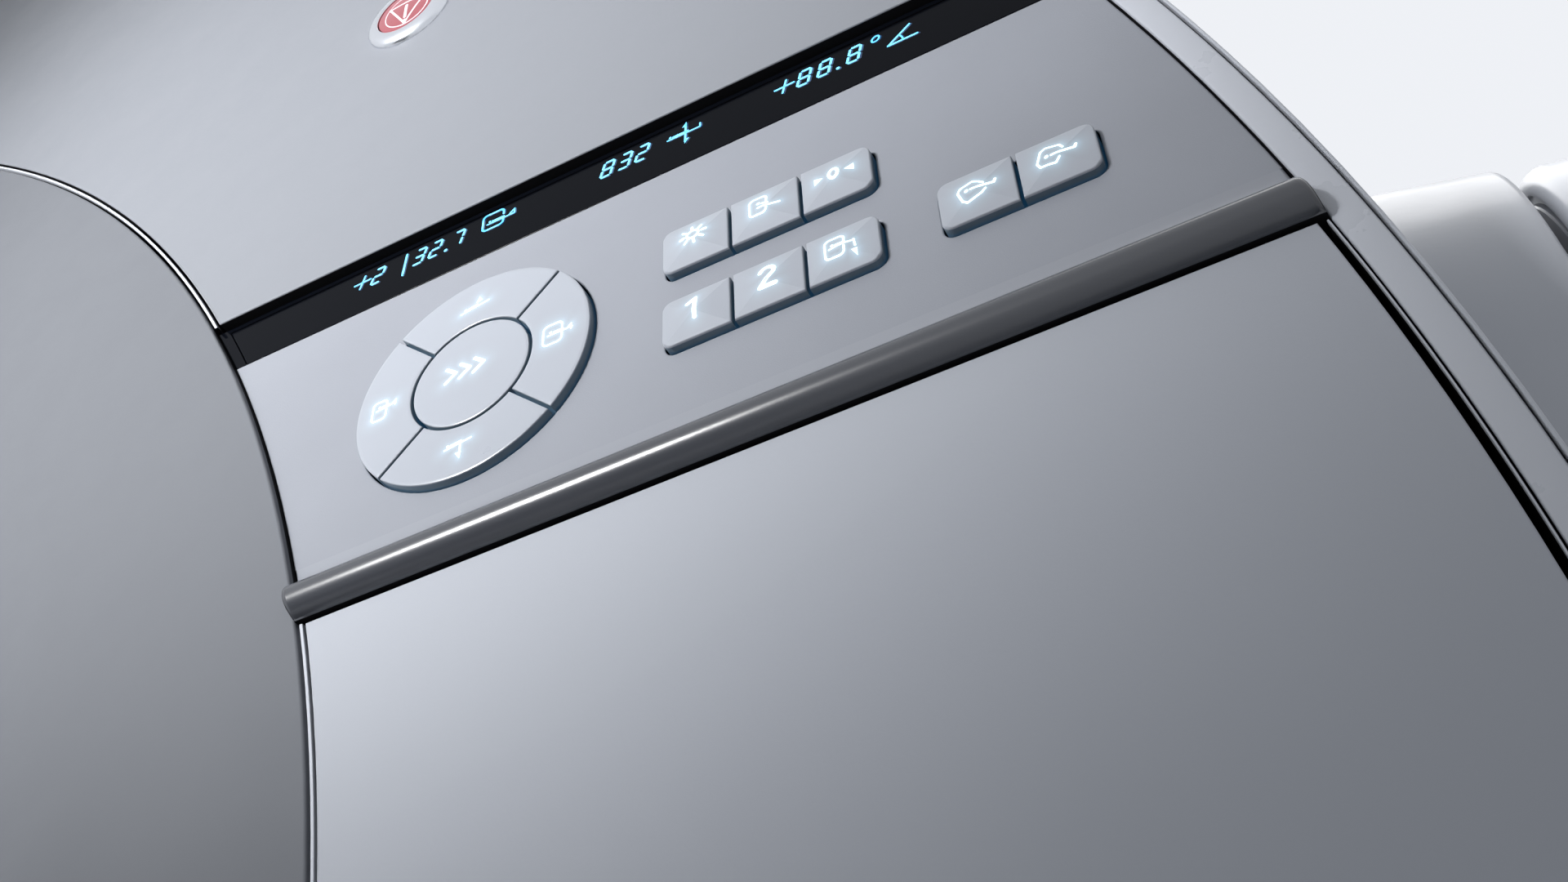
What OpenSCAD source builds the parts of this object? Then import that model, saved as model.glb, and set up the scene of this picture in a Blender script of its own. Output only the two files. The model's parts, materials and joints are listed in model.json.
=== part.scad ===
/* [Gantry] */
// Height of the scan axis above the floor
iso_h = 1000; // [980:5:1030]
// Radius of the patient bore
bore_r = 350; // [340:1:360]
// Outer radius of the gantry's side shell
shell_r = 937; // [930:1:945]
// Width of the front face between the bore cover and the flat underside
under_band = 70; // [62:1:76]
// Distance from the scan plane to the front and rear faces
face_d = 490; // [480:1:500]
// Thickness of the side shell
shell_t = 3.5; // [3:0.5:6]
// Thickness of the moulded front and rear covers
cover_t = 3; // [2:0.5:4]
// Depth of the covers' edge flanges
flange_d = 28; // [24:1:32]

/* [Trim ring] */
// Width of the dark groove between the side shell and the trim ring
groove_w = 0.4; // [0.2:0.1:1]
// Width of the pale trim ring seen from the front
trim_w = 7.2; // [5:0.1:10]
// Width of the black gap between the trim ring and the covers
trim_gap = 3.1; // [2:0.1:5]
// Width of the ledge that the covers' flanges land on
ledge_w = 20; // [16:1:26]

/* [Bore cover] */
// Width of the front face between the bore cover and the side shell's outer radius
face_band = 267; // [262:1:275]
// Thickness of the bore cover
ring_t = 4; // [3:0.5:5]
// Gap between the bore cover and the covers round it
ring_gap = 3; // [2:0.1:4]
// Width of the bore cover's flat face outside the funnel's lip
lip_flat = 74; // [61:1:90]
// Radius of the funnel's rolled lip
lip_round = 90; // [70:1:110]
// Half width of the thin window band that the beam passes
window_w = 60; // [50:1:70]
// Thickness of the window band
window_t = 2; // [1.5:0.5:3]

/* [Control panel] */
// Pad centre inside the side shell's outer radius, along X
pad_in = 247.7; // [245:0.1:250]
// Pad centre above the scan axis
pad_y = 256.8; // [250:0.1:262]
// Radius of the round keypad
pad_r = 38; // [36:0.5:40]
// Radius of the keypad's middle button
pad_mid_r = 18.8; // [16:0.2:21]
// Width of the slots between the keypad's parts
pad_slot = 1; // [0.8:0.1:1.4]
// Depth of the panel's face behind the front face
panel_sink = 3; // [2:0.5:4]
// Panel's lower edge below the pad centre
panel_low = 68; // [66:0.1:70]
// Panel's upper edge above the pad centre
panel_high = 74.9; // [74:0.1:78]
// Wall thickness of the panel moulding
panel_t = 3; // [2.5:0.5:4]
// Height of the rolled lip in front of the front face
lip_proud = 6; // [4:0.5:7]
// Outer radius of the rolled lip
lip_r = 5.5; // [4:0.5:6]
// Radius of the hollow sweep that leads into the lip
sweep_r = 11; // [9:0.5:14]
// Height that the keys' edges stand proud of the panel
key_proud = 2.5; // [2:0.1:4]
// Travel of every key
key_travel = 0.8; // [0.5:0.1:1.2]

/* [Keys] */
// Width of a key
key_w = 19.9; // [18:0.1:20.5]
// Height of a key
key_h = 16.9; // [15:0.1:18]
// Gap between two keys
key_gap = 0.95; // [0.8:0.05:1.4]
// Clearance round each key block
key_clear = 0.5; // [0.4:0.1:0.8]
// Rise of a key top's faceted pyramid above its edges
facet_rise = 0.9; // [0.5:0.1:1.4]
// Left edge of the six key block, from the pad centre
block_x = 60.35; // [58:0.05:62]
// Top edge of the upper key row, from the pad centre
row_one_y = 21.7; // [20:0.1:24]
// Top edge of the lower key row, from the pad centre
row_two_y = -6.7; // [-9:0.1:-4]
// Left edge of the pair of tilt keys, from the pad centre
pair_x = 137.7; // [135:0.1:140]
// Top edge of the pair of tilt keys, from the pad centre
pair_y = -6.85; // [-9:0.05:-4]

/* [Display] */
// Lower edge of the display strip above the pad centre
strip_low = 52.6; // [50:0.1:54]
// Height of the display strip
strip_h = 20.6; // [18:0.1:21]
// Thickness of the display glass
glass_t = 2.5; // [2:0.1:3]
// Width of the panel's rim at the two ends of the glass
glass_rim = 3.5; // [3:0.5:6]

/* [Stop button] */
// Stop button left of the pad centre
stop_dx = 47.7; // [45:0.1:55]
// Stop button above the pad centre
stop_dy = 213.3; // [205:0.1:220]
// Outer radius of the stop button's bezel
bezel_r = 18; // [17:0.1:19]
// Inner radius of the bezel
bezel_in_r = 12.4; // [11.5:0.1:14]
// Height of the bezel in front of the cover
bezel_h = 3; // [2:0.5:6]
// Travel of the stop button
stop_travel = 4; // [3:0.5:5]

/* [Shoulders] */
// Reach of the shoulders past the side shell
shoulder_reach = 20; // [16:1:24]
// Half depth of the shoulder at its outer end
shoulder_d = 422; // [410:1:428]
// Half height of the shoulder at its outer end
shoulder_h = 346; // [336:1:356]
// Corner radius of the shoulder at its outer end
shoulder_r = 151; // [130:1:170]
// Growth of the shoulder over its length, on each side
shoulder_taper = 23; // [18:1:28]
// Radius of the shoulder's rounded end edge
shoulder_edge = 4; // [3:0.5:10]
// Running gap between the shoulder and the stand
stand_gap = 5; // [3:0.5:8]

/* [Stands] */
// Thickness of each side stand
stand_w = 140; // [134:1:160]
// Wall thickness of the stand covers
stand_t = 4; // [3:0.5:6]
// Radius of the tilt trunnions
trunnion_r = 60; // [55:1:65]
// Running clearance of shafts and bearings
run_clear = 0.05; // [0.02:0.01:0.08]
// Height of the base frame
base_h = 80; // [70:1:84]
// Distance of the anchor holes from the stand's inner face, along X
anchor_in = 68; // [58:1:83]
// Distance of the anchor holes from the middle, along Y
anchor_y = 475; // [465:1:490]
// Radius of every floor anchor hole
anchor_r = 9; // [8:0.5:11]

/* [Rotor] */
// Outer radius of the rotor drum
drum_r = 640; // [630:1:650]
// Wall thickness of the rotor drum
drum_t = 25; // [20:1:30]
// Running gap between rotor and bore cover
rotor_clear = 20; // [15:1:30]
// Radial section of the rotor bearing
bearing_t = 50; // [40:1:60]
// Radius of the X-ray tube housing
tube_r = 85; // [75:1:90]
// Distance from the scan axis to the focal spot
focus_r = 522; // [515:1:524]
// Distance from the focal spot to the detector face
detector_far = 960; // [950:1:965]
// Half angle of the fan beam
fan_half = 27; // [22:1:27]
// Number of detector modules across the fan
modules = 38; // [20:1:46]
// Half height of the boxes at the rotor's sides
side_box_h = 118; // [90:1:120]

/* [Patient table] */
// Height of the cradle's edge below the scan axis
cradle_drop = 90; // [80:1:110]
// Thickness of the cradle
cradle_t = 50; // [40:1:60]
// Half width of the cradle
cradle_w = 215; // [190:1:225]
// Length of the cradle
cradle_l = 2300; // [2200:10:2400]
// Distance from the scan plane to the cradle's end when it is out
cradle_out = 870; // [850:5:900]
// Travel of the lift, downwards from the working height
lift_travel = 330; // [300:5:350]
// Length of the table's lower cover
plinth_l = 1150; // [1000:10:1250]
// Half width of the table's lower cover
plinth_w = 255; // [245:1:270]
// Distance from the scan plane to the lower cover's near end
plinth_y = 1040; // [1000:5:1080]
// Height of the table's lower cover
plinth_h = 340; // [300:5:360]
// Number of folds in the bellows
folds = 9; // [6:1:12]

/* [Hidden] */

$fn = 96;
eps = 0.01;
big = 3000;

// How far each edge of the trim and covers lies inside the shell's outer face
rim_edge = 1;
groove_off = rim_edge + groove_w;
trim_in_off = groove_off + trim_w;
cover_off = trim_in_off + trim_gap;
rim_set = 1;
rim_z = face_d - rim_set;
groove_d = 11;
ledge_t = 4;
ledge_z = face_d - cover_t - flange_d;
ring_ledge_w = ring_gap + 2 * cover_t;
seam = 2;

// Funnel of the bore cover: a cone from the bore's edge, tangent to the rolled lip
ring_r = shell_r - face_band;
lip_start_r = ring_r - lip_flat;
lip_z = face_d - lip_round;
lip_run = [lip_start_r - bore_r, lip_z - window_w];
cone_angle = atan2(lip_run[1], lip_run[0]) + asin(lip_round / norm(lip_run));
lip_steps = 10;
ring_edge = 1;

// Control panel, measured from the pad centre
pad_x = shell_r - pad_in;
panel_z = face_d - panel_sink;
key_top_z = panel_z + key_proud;
key_depth = 11;
board_z = panel_z - key_depth;
board_t = 2;
board_gap = 0.1;
key_low_z = board_z + key_travel + board_gap;
panel_slit = 0.3;
panel_in = ring_r + panel_slit;
panel_out = shell_r - trim_in_off - panel_slit;
panel_seam = 1.3;
split_high = pad_y + panel_high + panel_seam;
split_low = pad_y - panel_low - panel_seam;
sweep_angle = 55;
glass_ledge = 4;
window_wall = 2.5;
key_corner = 3;
pair_w = 2 * key_w + key_gap;
row_w = 3 * key_w + 2 * key_gap;
board_left = -44;
board_right = pair_x + pair_w + 2;
board_half = 41;
post_inset = 5;
peg_r = 3.5;

// Cooling slots of the rear cover
vent_step = 40;
vent_w = 10;
vent_l = 60;
vent_in = 177;

// Stop button
bezel_neck = 1.5;
bezel_deep = 20;
button_gap = 0.3;

// Shoulders and stands
shoulder_x = shell_r + shoulder_reach;
shoulder_l = 125;
shoulder_root = shoulder_x - shoulder_l;
end_wall = 4;
stand_x = shoulder_x + stand_gap;
stand_out = stand_x + stand_w;
anchor_x = stand_x + anchor_in;
foot_t = 20;
stand_foot_r = 40;
stand_in = 4;
stand_edge = 6;
stand_taper = 14;
plate_in = 11;
plate_groove = 3;
plate_groove_d = 2;
casting_x = stand_x + 33;
casting_t = 60;
bearing_w = 35;
drive_w = 28;
drive_r = 110;
drive_drop = 260;
window_half = 65;
window_h = 150;
window_top = 350;
window_step = 210;
stub_r = 40;
hub_r = 120;
hub_t = 14;
shaft_hole = trunnion_r + 15;
beam_in = 300;
beam_out = 360;
duct_w = 60;
duct_h = 22;

// Frame and rotor: z is negative behind the scan plane
frame_r = drum_r + bearing_t;
frame_t = 30;
under_gap = 8;
chord_drop = max(ring_r + under_band, frame_r + frame_t + under_gap + shell_t);
frame_front = 160;
frame_rear = 230;
rib_half = 40;
rib_w = 24;
arm_half = 70;
drum_front = 150;
plate_z = 150;
plate_t = 25;
race_t = bearing_t / 2 - 3;
race_z = [-140, -100];
motor_z = [-60, 40];
magnet_t = 26;
motor_gap = 2;
slip_t = 40;
slip_rear = plate_z + plate_t + slip_t;
slip_margin = 15;
tracks = 6;
track_w = 10;
track_d = 6;
inner_r = funnel_back(slip_rear) + rotor_clear;
slip_in = inner_r + slip_margin;
slip_out = drum_r - drum_t - slip_margin;
brush_arm_t = 25;
brush_half = 45;
detector_t = 45;
module_t = 15;
module_gap = 2;
side_box_in = 470;
side_box_t = 120;
box_front = 110;
tube_front = 120;
tube_nose = 25;
plug_x = 40;
plug_deep = 30;
plug_r = 18;
plug_l = 85;

// Patient table
cradle_z = iso_h - cradle_drop;
cradle_base = cradle_z - cradle_t;
slide_gap = 0.3;
carrier_w = 190;
carrier_t = 95;
carrier_low = cradle_base - carrier_t;
carrier_over = 90;
carrier_wall = 6;
plate_h = 10;
post_r = 30;
post_inset_y = 250;
guide_wall = 10;
bellows_top = carrier_low - plate_h;
table_foot = 20;
table_ear = 45;
bellows_low = table_foot + plinth_h;
bellows_in = 25;
fold_d = 14;
post_top = carrier_low - lift_travel + 20;
guide_low = post_top - 60;
cover_round = 60;
cradle_sag = 25;
cradle_rise = 45;
runner_x = 135;
runner_w = 30;
runner_end = 20;
cradle_cut = 140;
pad_sheet = 30;
pad_side = 30;
pad_foot = 60;
pad_head = 370;
trough_rim = 10;
head_r = 125;
head_wall = 10;
head_open = 25;
head_in = 30;
head_l = 320;

// Radius of the funnel's back at a distance from the scan plane
function funnel_back(z) =
    bore_r + ring_t / sin(cone_angle) + (abs(z) - window_w) / tan(cone_angle);
// Points along an arc about (x, y)
function arc(x, y, r, from, to, steps) =
    [for (i = [0:steps]) let (a = from + (to - from) * i / steps) [x + r * cos(a), y + r * sin(a)]];
// Radius of the arc through the ends and the middle of a shallow trough
function trough_r(half, sag) = (half * half + sag * sag) / (2 * sag);

module at_iso() {
    translate([0, 0, iso_h]) children();
}

// Faces of the gantry are drawn with x right, y up from the scan axis and z towards the viewer
module face() {
    at_iso() rotate([90, 0, 0]) children();
}

module rear_face() {
    at_iso() rotate([90, 0, 180]) children();
}

module panel_face() {
    face() translate([pad_x, pad_y, 0]) children();
}

// Draws a profile given as Y and Z, extruded along X
module along_x(from, to) {
    translate([from, 0, 0]) rotate([90, 0, 90]) linear_extrude(to - from) children();
}

// Draws a profile given as X and Z, extruded towards the rear
module along_y(from, to) {
    translate([0, to, 0]) rotate([90, 0, 0]) linear_extrude(to - from) children();
}

module right_side() {
    children();
}

module left_side() {
    mirror([1, 0, 0]) children();
}

// Outline of the gantry, drawn in by an offset, with its flat underside
module gantry_outline(inset) {
    r = shell_r - inset;
    low = chord_drop - inset;
    intersection() {
        circle(r, $fn = 180);
        translate([-r, -low]) square([2 * r, r + low]);
    }
}

module gantry_band(outer, inner, z_low, z_high) {
    translate([0, 0, z_low]) linear_extrude(z_high - z_low) difference() {
        gantry_outline(outer);
        gantry_outline(inner);
    }
}

module tube_ring(r_out, r_in, z_low, z_high) {
    translate([0, 0, z_low]) difference() {
        cylinder(r = r_out, h = z_high - z_low, $fn = 180);
        translate([0, 0, -1]) cylinder(r = r_in, h = z_high - z_low + 2, $fn = 180);
    }
}

module rounded_outline(half, top, low, r_top, r_low) {
    polygon(concat(
        arc(half - r_top, top - r_top, r_top, 0, 90, 8),
        arc(r_top - half, top - r_top, r_top, 90, 180, 8),
        arc(r_low - half, low + r_low, r_low, 180, 270, 8),
        arc(half - r_low, low + r_low, r_low, 270, 360, 8)
    ));
}

// Gantry covers
module trim_ring() color("gainsboro") face() {
    gantry_band(groove_off, trim_in_off, rim_z - groove_d, rim_z);
    gantry_band(shell_t, trim_in_off, ledge_z - ledge_t, rim_z - groove_d + eps);
    gantry_band(trim_in_off - eps, trim_in_off + ledge_w, ledge_z - ledge_t, ledge_z);
}

module upper_outline(inset) {
    difference() {
        gantry_outline(cover_off + inset);
        circle(ring_r + ring_gap + inset, $fn = 180);
        translate([-big, -big]) square([big, big + split_low + seam + inset]);
        translate([-eps, -big]) square([big, big + split_high + inset]);
    }
}

module lower_outline(inset) {
    difference() {
        gantry_outline(cover_off + inset);
        circle(ring_r + ring_gap + inset, $fn = 180);
        translate([-big, split_low - inset]) square([2 * big, big]);
    }
}

module cover_tray() {
    difference() {
        translate([0, 0, ledge_z]) linear_extrude(face_d - ledge_z) children(0);
        translate([0, 0, ledge_z - 1]) linear_extrude(flange_d + 1) children(1);
    }
}

module front_cover_upper() color("lightsteelblue") face() difference() {
    cover_tray() {
        upper_outline(0);
        upper_outline(cover_t);
    }
    translate([pad_x - stop_dx, pad_y + stop_dy, ledge_z])
        cylinder(r = bezel_in_r + bezel_neck + button_gap, h = 2 * flange_d);
}

module front_cover_lower() color("lightsteelblue") face() cover_tray() {
    lower_outline(0);
    lower_outline(cover_t);
}

module bore_cover_profile() {
    polygon(concat(
        [[bore_r, window_w]],
        arc(lip_start_r, lip_z, lip_round, 90 + cone_angle, 90, lip_steps),
        arc(ring_r - ring_edge, face_d - ring_edge, ring_edge, 90, 0, 4),
        [
            [ring_r, ledge_z],
            [ring_r + ring_ledge_w, ledge_z],
            [ring_r + ring_ledge_w, ledge_z - ledge_t],
            [ring_r - ring_t, ledge_z - ledge_t],
            [ring_r - ring_t, face_d - ring_t]
        ],
        arc(lip_start_r, lip_z, lip_round - ring_t, 90, 90 + cone_angle, lip_steps),
        [[bore_r + ring_t / sin(cone_angle), window_w]]
    ));
}

module bore_cover_front() color("slategray") face() rotate_extrude($fn = 180) bore_cover_profile();
module bore_cover_rear() color("slategray") rear_face() rotate_extrude($fn = 180) bore_cover_profile();
module scan_window() color("dimgray") face() tube_ring(bore_r + window_t, bore_r, -window_w, window_w);

// One piece from groove to bore, with two rows of cooling slots
module rear_cover() color("lightsteelblue") rear_face() {
    difference() {
        translate([0, 0, rim_z - cover_t]) linear_extrude(cover_t) difference() {
            gantry_outline(groove_off);
            circle(ring_r + ring_gap, $fn = 180);
        }
        for (i = [-8:8])
            translate([i * vent_step - vent_w / 2, shell_r - vent_in, face_d / 2])
                cube([vent_w, vent_l, face_d]);
    }
    gantry_band(shell_t, shell_t + 2 * cover_t, ledge_z - ledge_t, rim_z - cover_t + eps);
    tube_ring(ring_r + ring_gap + cover_t, ring_r + ring_gap, ledge_z, rim_z - cover_t + eps);
}

module shell_half(side) {
    edge = rim_z + 0.5;
    difference() {
        face() difference() {
            gantry_band(0, shell_t, -edge, edge);
            for (end = [0, 1]) mirror([0, 0, end])
                gantry_band(rim_edge, shell_t + 1, rim_z - groove_d, edge + 1);
            translate([-big, side > 0 ? seam / 2 - 2 * big : -seam / 2, -big]) cube(2 * big);
        }
        right_side() shoulder_form(seam, shoulder_x + 2 * seam);
        left_side() shoulder_form(seam, shoulder_x + 2 * seam);
    }
}

module shell_upper() color("gainsboro") shell_half(1);
module shell_lower() color("gainsboro") shell_half(-1);

// Shoulder: a tapered, rounded box whose outer edge is rolled over
module shoulder_slab(x, grow) {
    at_iso() along_x(x, x + eps)
        rounded_outline(shoulder_d + grow, shoulder_h + grow, -shoulder_h - grow,
            shoulder_r + grow, shoulder_r + grow);
}

module shoulder_form(grow, end) {
    edge = max(shoulder_edge + min(grow, 0), 0);
    hull() {
        shoulder_slab(shoulder_root, shoulder_taper + grow);
        for (a = [0:30:90])
            shoulder_slab(end - edge + edge * sin(a) - eps, grow - edge * (1 - cos(a)));
    }
}

module shoulder() {
    difference() {
        shoulder_form(0, shoulder_x);
        translate([-1, 0, 0]) shoulder_form(-end_wall, shoulder_x - end_wall + 1);
        at_iso() rotate([0, 90, 0]) cylinder(r = trunnion_r + 5, h = big);
    }
}

module shoulder_right() color("gainsboro") right_side() shoulder();
module shoulder_left() color("gainsboro") left_side() shoulder();

// Fixed frame inside the gantry, with its two trunnions
module trunnion() {
    x_hub = shoulder_x - end_wall;
    along_x(frame_r + frame_t / 2, x_hub - hub_t + 1) square(2 * arm_half, center = true);
    translate([x_hub - hub_t, 0, 0]) rotate([0, 90, 0]) cylinder(r = hub_r, h = hub_t);
    translate([x_hub - eps, 0, 0]) rotate([0, 90, 0])
        cylinder(r = trunnion_r, h = casting_x + casting_t - slide_gap - x_hub);
}

module stator_frame() color("darkslategray") {
    face() {
        difference() {
            tube_ring(frame_r + frame_t, frame_r, -frame_rear, frame_front);
            for (a = [30:30:150], side = [0, 180])
                rotate(a + side + (a == 90 ? 15 : 0)) translate([frame_r - 10, 0, -170])
                    rotate([0, 90, 0]) cylinder(r = 35, h = 60);
        }
        intersection() {
            for (a = [45, 90, 135, 225, 270, 315])
                rotate(a) translate([frame_r + frame_t / 2, -rib_w / 2, -rib_half])
                    cube([shell_r, rib_w, 2 * rib_half]);
            translate([0, 0, -frame_front]) linear_extrude(2 * frame_front) gantry_outline(shell_t);
        }
    }
    at_iso() {
        right_side() trunnion();
        left_side() trunnion();
        translate([casting_x + casting_t - slide_gap - eps, 0, 0]) rotate([0, 90, 0])
            cylinder(r = stub_r, h = drive_w - 2);
    }
}

module bearing_outer() color("silver") face()
    tube_ring(frame_r, drum_r + race_t + run_clear, race_z[0], race_z[1]);

module drive_stator() color("peru") face()
    tube_ring(frame_r, drum_r + magnet_t + motor_gap, motor_z[0], motor_z[1]);

// Brush holder over the slip ring, hung from the frame's rear face
module brush_block() color("orange") face() rotate(60) {
    translate([slip_in, -brush_half, -frame_rear - run_clear - brush_arm_t])
        cube([frame_r + frame_t - slip_in, 2 * brush_half, brush_arm_t]);
    translate([slip_in + 10, -brush_half + 10, -frame_rear - run_clear - eps])
        cube([slip_out - slip_in - 20, 2 * brush_half - 20, frame_rear - slip_rear - slide_gap]);
}

// Control panel: a moulded shell with a rolled lip, curved ends and sunk display
module panel_profile() {
    lip_top = face_d + lip_proud;
    lip_c = [lip_r - panel_low, lip_top - lip_r];
    leave = lip_c + lip_r * [sin(sweep_angle), cos(sweep_angle)];
    sweep_top = panel_z + sweep_r * (1 - cos(sweep_angle));
    flat_end = leave[0] + (leave[1] - sweep_top) / tan(sweep_angle) + sweep_r * sin(sweep_angle);
    polygon(concat(
        [[panel_high, ledge_z], [panel_high, panel_z]],
        arc(flat_end, panel_z + sweep_r, sweep_r, 270, 270 - sweep_angle, 6),
        arc(lip_c[0], lip_c[1], lip_r, 90 - sweep_angle, 180, 8),
        [[-panel_low, ledge_z]]
    ));
}

module panel_hollow() {
    thick_z = panel_z - glass_t - window_wall;
    polygon([
        [panel_high - panel_t, ledge_z - 1],
        [panel_high - panel_t, thick_z],
        [strip_low - panel_t, thick_z],
        [strip_low - panel_t, panel_z - panel_t],
        [panel_t - panel_low, panel_z - panel_t],
        [panel_t - panel_low, ledge_z - 1]
    ]);
}

module panel_annulus(inset) {
    linear_extrude(big) difference() {
        circle(panel_out - inset, $fn = 180);
        circle(panel_in + inset, $fn = 180);
    }
}

module panel_between(inset) {
    intersection() {
        translate([0, pad_y, 0]) along_x(0, big) children();
        panel_annulus(inset);
    }
}

module strip_between(inset, border, z_low, z_high) {
    intersection() {
        translate([0, pad_y + strip_low + border, z_low])
            cube([big, strip_h - 2 * border, z_high - z_low]);
        panel_annulus(glass_rim + inset);
    }
}

module block_cut(x, top, w) {
    translate([x - key_clear, top - key_h - key_clear, board_z])
        cube([w + 2 * key_clear, key_h + 2 * key_clear, 2 * key_depth]);
}

module peg_places() {
    for (x = [board_left + post_inset, block_x - 8, board_right - post_inset - 2],
         y = [board_half - post_inset, post_inset - board_half])
        translate([x, y, 0]) children();
}

module control_panel() color("gray") {
    face() difference() {
        panel_between(0) panel_profile();
        panel_between(panel_t) panel_hollow();
        strip_between(0, 0, panel_z - glass_t, 2 * panel_z);
        strip_between(glass_ledge, glass_ledge, board_z, panel_z);
        translate([pad_x, pad_y, 0]) {
            translate([0, 0, board_z]) cylinder(r = pad_r + key_clear, h = 2 * key_depth);
            block_cut(block_x, row_one_y, row_w);
            block_cut(block_x, row_two_y, row_w);
            block_cut(pair_x, pair_y, pair_w);
        }
    }
    panel_face() peg_places() translate([0, 0, board_z])
        cylinder(r = peg_r, h = key_depth - panel_t + eps);
}

module display_window() color("black") face() strip_between(0.2, 0.2, panel_z - glass_t, panel_z);

module keypad_board() color("darkgreen") panel_face() translate([0, 0, board_z - board_t])
    linear_extrude(board_t) difference() {
        translate([board_left, -board_half]) square([board_right - board_left, 2 * board_half]);
        for (x = [30:20:170]) translate([x, 33]) circle(1.5);
    }

module at_stop() {
    panel_face() translate([-stop_dx, stop_dy, 0]) children();
}

module stop_bezel() color("silver") at_stop() {
    low = face_d - bezel_deep;
    rotate_extrude() polygon(concat(
        [[bezel_in_r, face_d + bezel_h]],
        [for (a = [15:15:90])
            [bezel_in_r + (bezel_r - bezel_in_r) * sin(a), face_d + bezel_h * cos(a)]],
        [
            [bezel_in_r + bezel_neck, face_d],
            [bezel_in_r + bezel_neck, low - cover_t],
            [0, low - cover_t],
            [0, low],
            [bezel_in_r, low]
        ]
    ));
}

module stop_button() color("indianred") at_stop() {
    r = bezel_in_r - button_gap;
    crown = 0.8;
    low = face_d - bezel_deep + stop_travel + 1;
    top = face_d + bezel_h - 0.5;
    crown_r = trough_r(r, crown);
    intersection() {
        translate([0, 0, low]) cylinder(r = r, h = top + crown - low);
        translate([0, 0, top + crown - crown_r]) sphere(crown_r);
    }
}

// Low roof over a key, from edge to edge
module gable(w) {
    polygon([[0, 0], [0, key_top_z], [w / 2, key_top_z + facet_rise], [w, key_top_z], [w, 0]]);
}

// Keys: prisms with a low faceted pyramid on top
module key(x, top, ends) {
    c = key_corner;
    panel_face() translate([x, top - key_h, 0]) intersection() {
        translate([0, 0, key_low_z]) linear_extrude(key_top_z + facet_rise - key_low_z)
            polygon(concat(
                ends > 0 ? concat(
                    arc(key_w - c, c, c, 270, 360, 5),
                    arc(key_w - c, key_h - c, c, 0, 90, 5)) : [[key_w, 0], [key_w, key_h]],
                ends < 0 ? concat(
                    arc(c, key_h - c, c, 90, 180, 5),
                    arc(c, c, c, 180, 270, 5)) : [[0, key_h], [0, 0]]
            ));
        along_y(-1, key_h + 1) gable(key_w);
        along_x(-1, key_w + 1) gable(key_h);
    }
}

pitch = key_w + key_gap;
module key_light() color("white") key(block_x, row_one_y, -1);
module key_load() color("white") key(block_x + pitch, row_one_y, 0);
module key_zero() color("white") key(block_x + 2 * pitch, row_one_y, 1);
module key_one() color("white") key(block_x, row_two_y, -1);
module key_two() color("white") key(block_x + pitch, row_two_y, 0);
module key_unload() color("white") key(block_x + 2 * pitch, row_two_y, 1);
module key_tilt_back() color("white") key(pair_x, pair_y, -1);
module key_tilt_front() color("white") key(pair_x + pitch, pair_y, 1);

module pad_quarter(a) {
    panel_face() translate([0, 0, key_low_z]) linear_extrude(key_top_z - key_low_z)
        intersection() {
            difference() {
                circle(pad_r);
                circle(pad_mid_r + pad_slot);
            }
            rotate(a - 45) translate([pad_slot / 2, pad_slot / 2]) square(2 * pad_r);
        }
}

module pad_middle() color("white") panel_face() translate([0, 0, key_low_z])
    cylinder(r = pad_mid_r, h = key_top_z - key_low_z);
module pad_right() color("white") pad_quarter(0);
module pad_up() color("white") pad_quarter(90);
module pad_left() color("white") pad_quarter(180);
module pad_down() color("white") pad_quarter(270);

// Rotor
module rotor_drum() color("lightgray") face() {
    difference() {
        tube_ring(drum_r, drum_r - drum_t, -plate_z - plate_t, drum_front);
        for (a = [15:30:345])
            rotate(a) translate([drum_r - 2 * drum_t, 0, 90]) rotate([0, 90, 0])
                cylinder(r = 30, h = 3 * drum_t);
    }
    tube_ring(drum_r - drum_t + eps, inner_r, -plate_z - plate_t, -plate_z);
}

module bearing_inner() color("silver") face()
    tube_ring(drum_r + race_t, drum_r, race_z[0], race_z[1]);

module drive_magnets() color("dimgray") face()
    tube_ring(drum_r + magnet_t, drum_r, motor_z[0], motor_z[1]);

module slip_ring() color("goldenrod") face() difference() {
    tube_ring(slip_out, slip_in, -slip_rear, -plate_z - plate_t);
    step = (slip_out - slip_in) / tracks;
    for (i = [0:tracks - 1])
        let (r = slip_in + (i + 0.5) * step)
            tube_ring(r + track_w / 2, r - track_w / 2, -slip_rear - 1, -slip_rear + track_d);
}

module xray_tube() color("silver") face() translate([0, focus_r, 0]) {
    translate([0, 0, -plate_z]) cylinder(r = tube_r, h = plate_z + tube_front);
    translate([0, 0, tube_front - eps]) cylinder(r1 = tube_r, r2 = tube_r - tube_nose, h = tube_nose);
    for (side = [-1, 1])
        translate([side * plug_x, 0, tube_front - plug_deep]) rotate([0, side * 35, 0])
            cylinder(r = plug_r, h = plug_l);
}

module collimator() color("slategray") face() difference() {
    translate([-110, bore_r + 24, -62]) cube([220, focus_r - tube_r - bore_r + 6, 124]);
    translate([0, focus_r, -plate_z]) cylinder(r = tube_r, h = 2 * plate_z);
    translate([-80, bore_r, -8]) cube([160, focus_r - bore_r, 16]);
}

// Detector: a curved housing about the focal spot, with its row of modules
module detector() color("steelblue") face() translate([0, focus_r, 0]) rotate(270 - fan_half) {
    translate([0, 0, run_clear - plate_z]) rotate_extrude(angle = 2 * fan_half, $fn = 360)
        translate([detector_far, 0]) square([detector_t, plate_z + 70]);
    step = 2 * fan_half / modules;
    w = detector_far * step * PI / 180 - module_gap;
    for (i = [0:modules - 1])
        rotate((i + 0.5) * step) translate([detector_far - module_t, -w / 2, -60])
            cube([module_t + 2, w, 120]);
}

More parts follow.
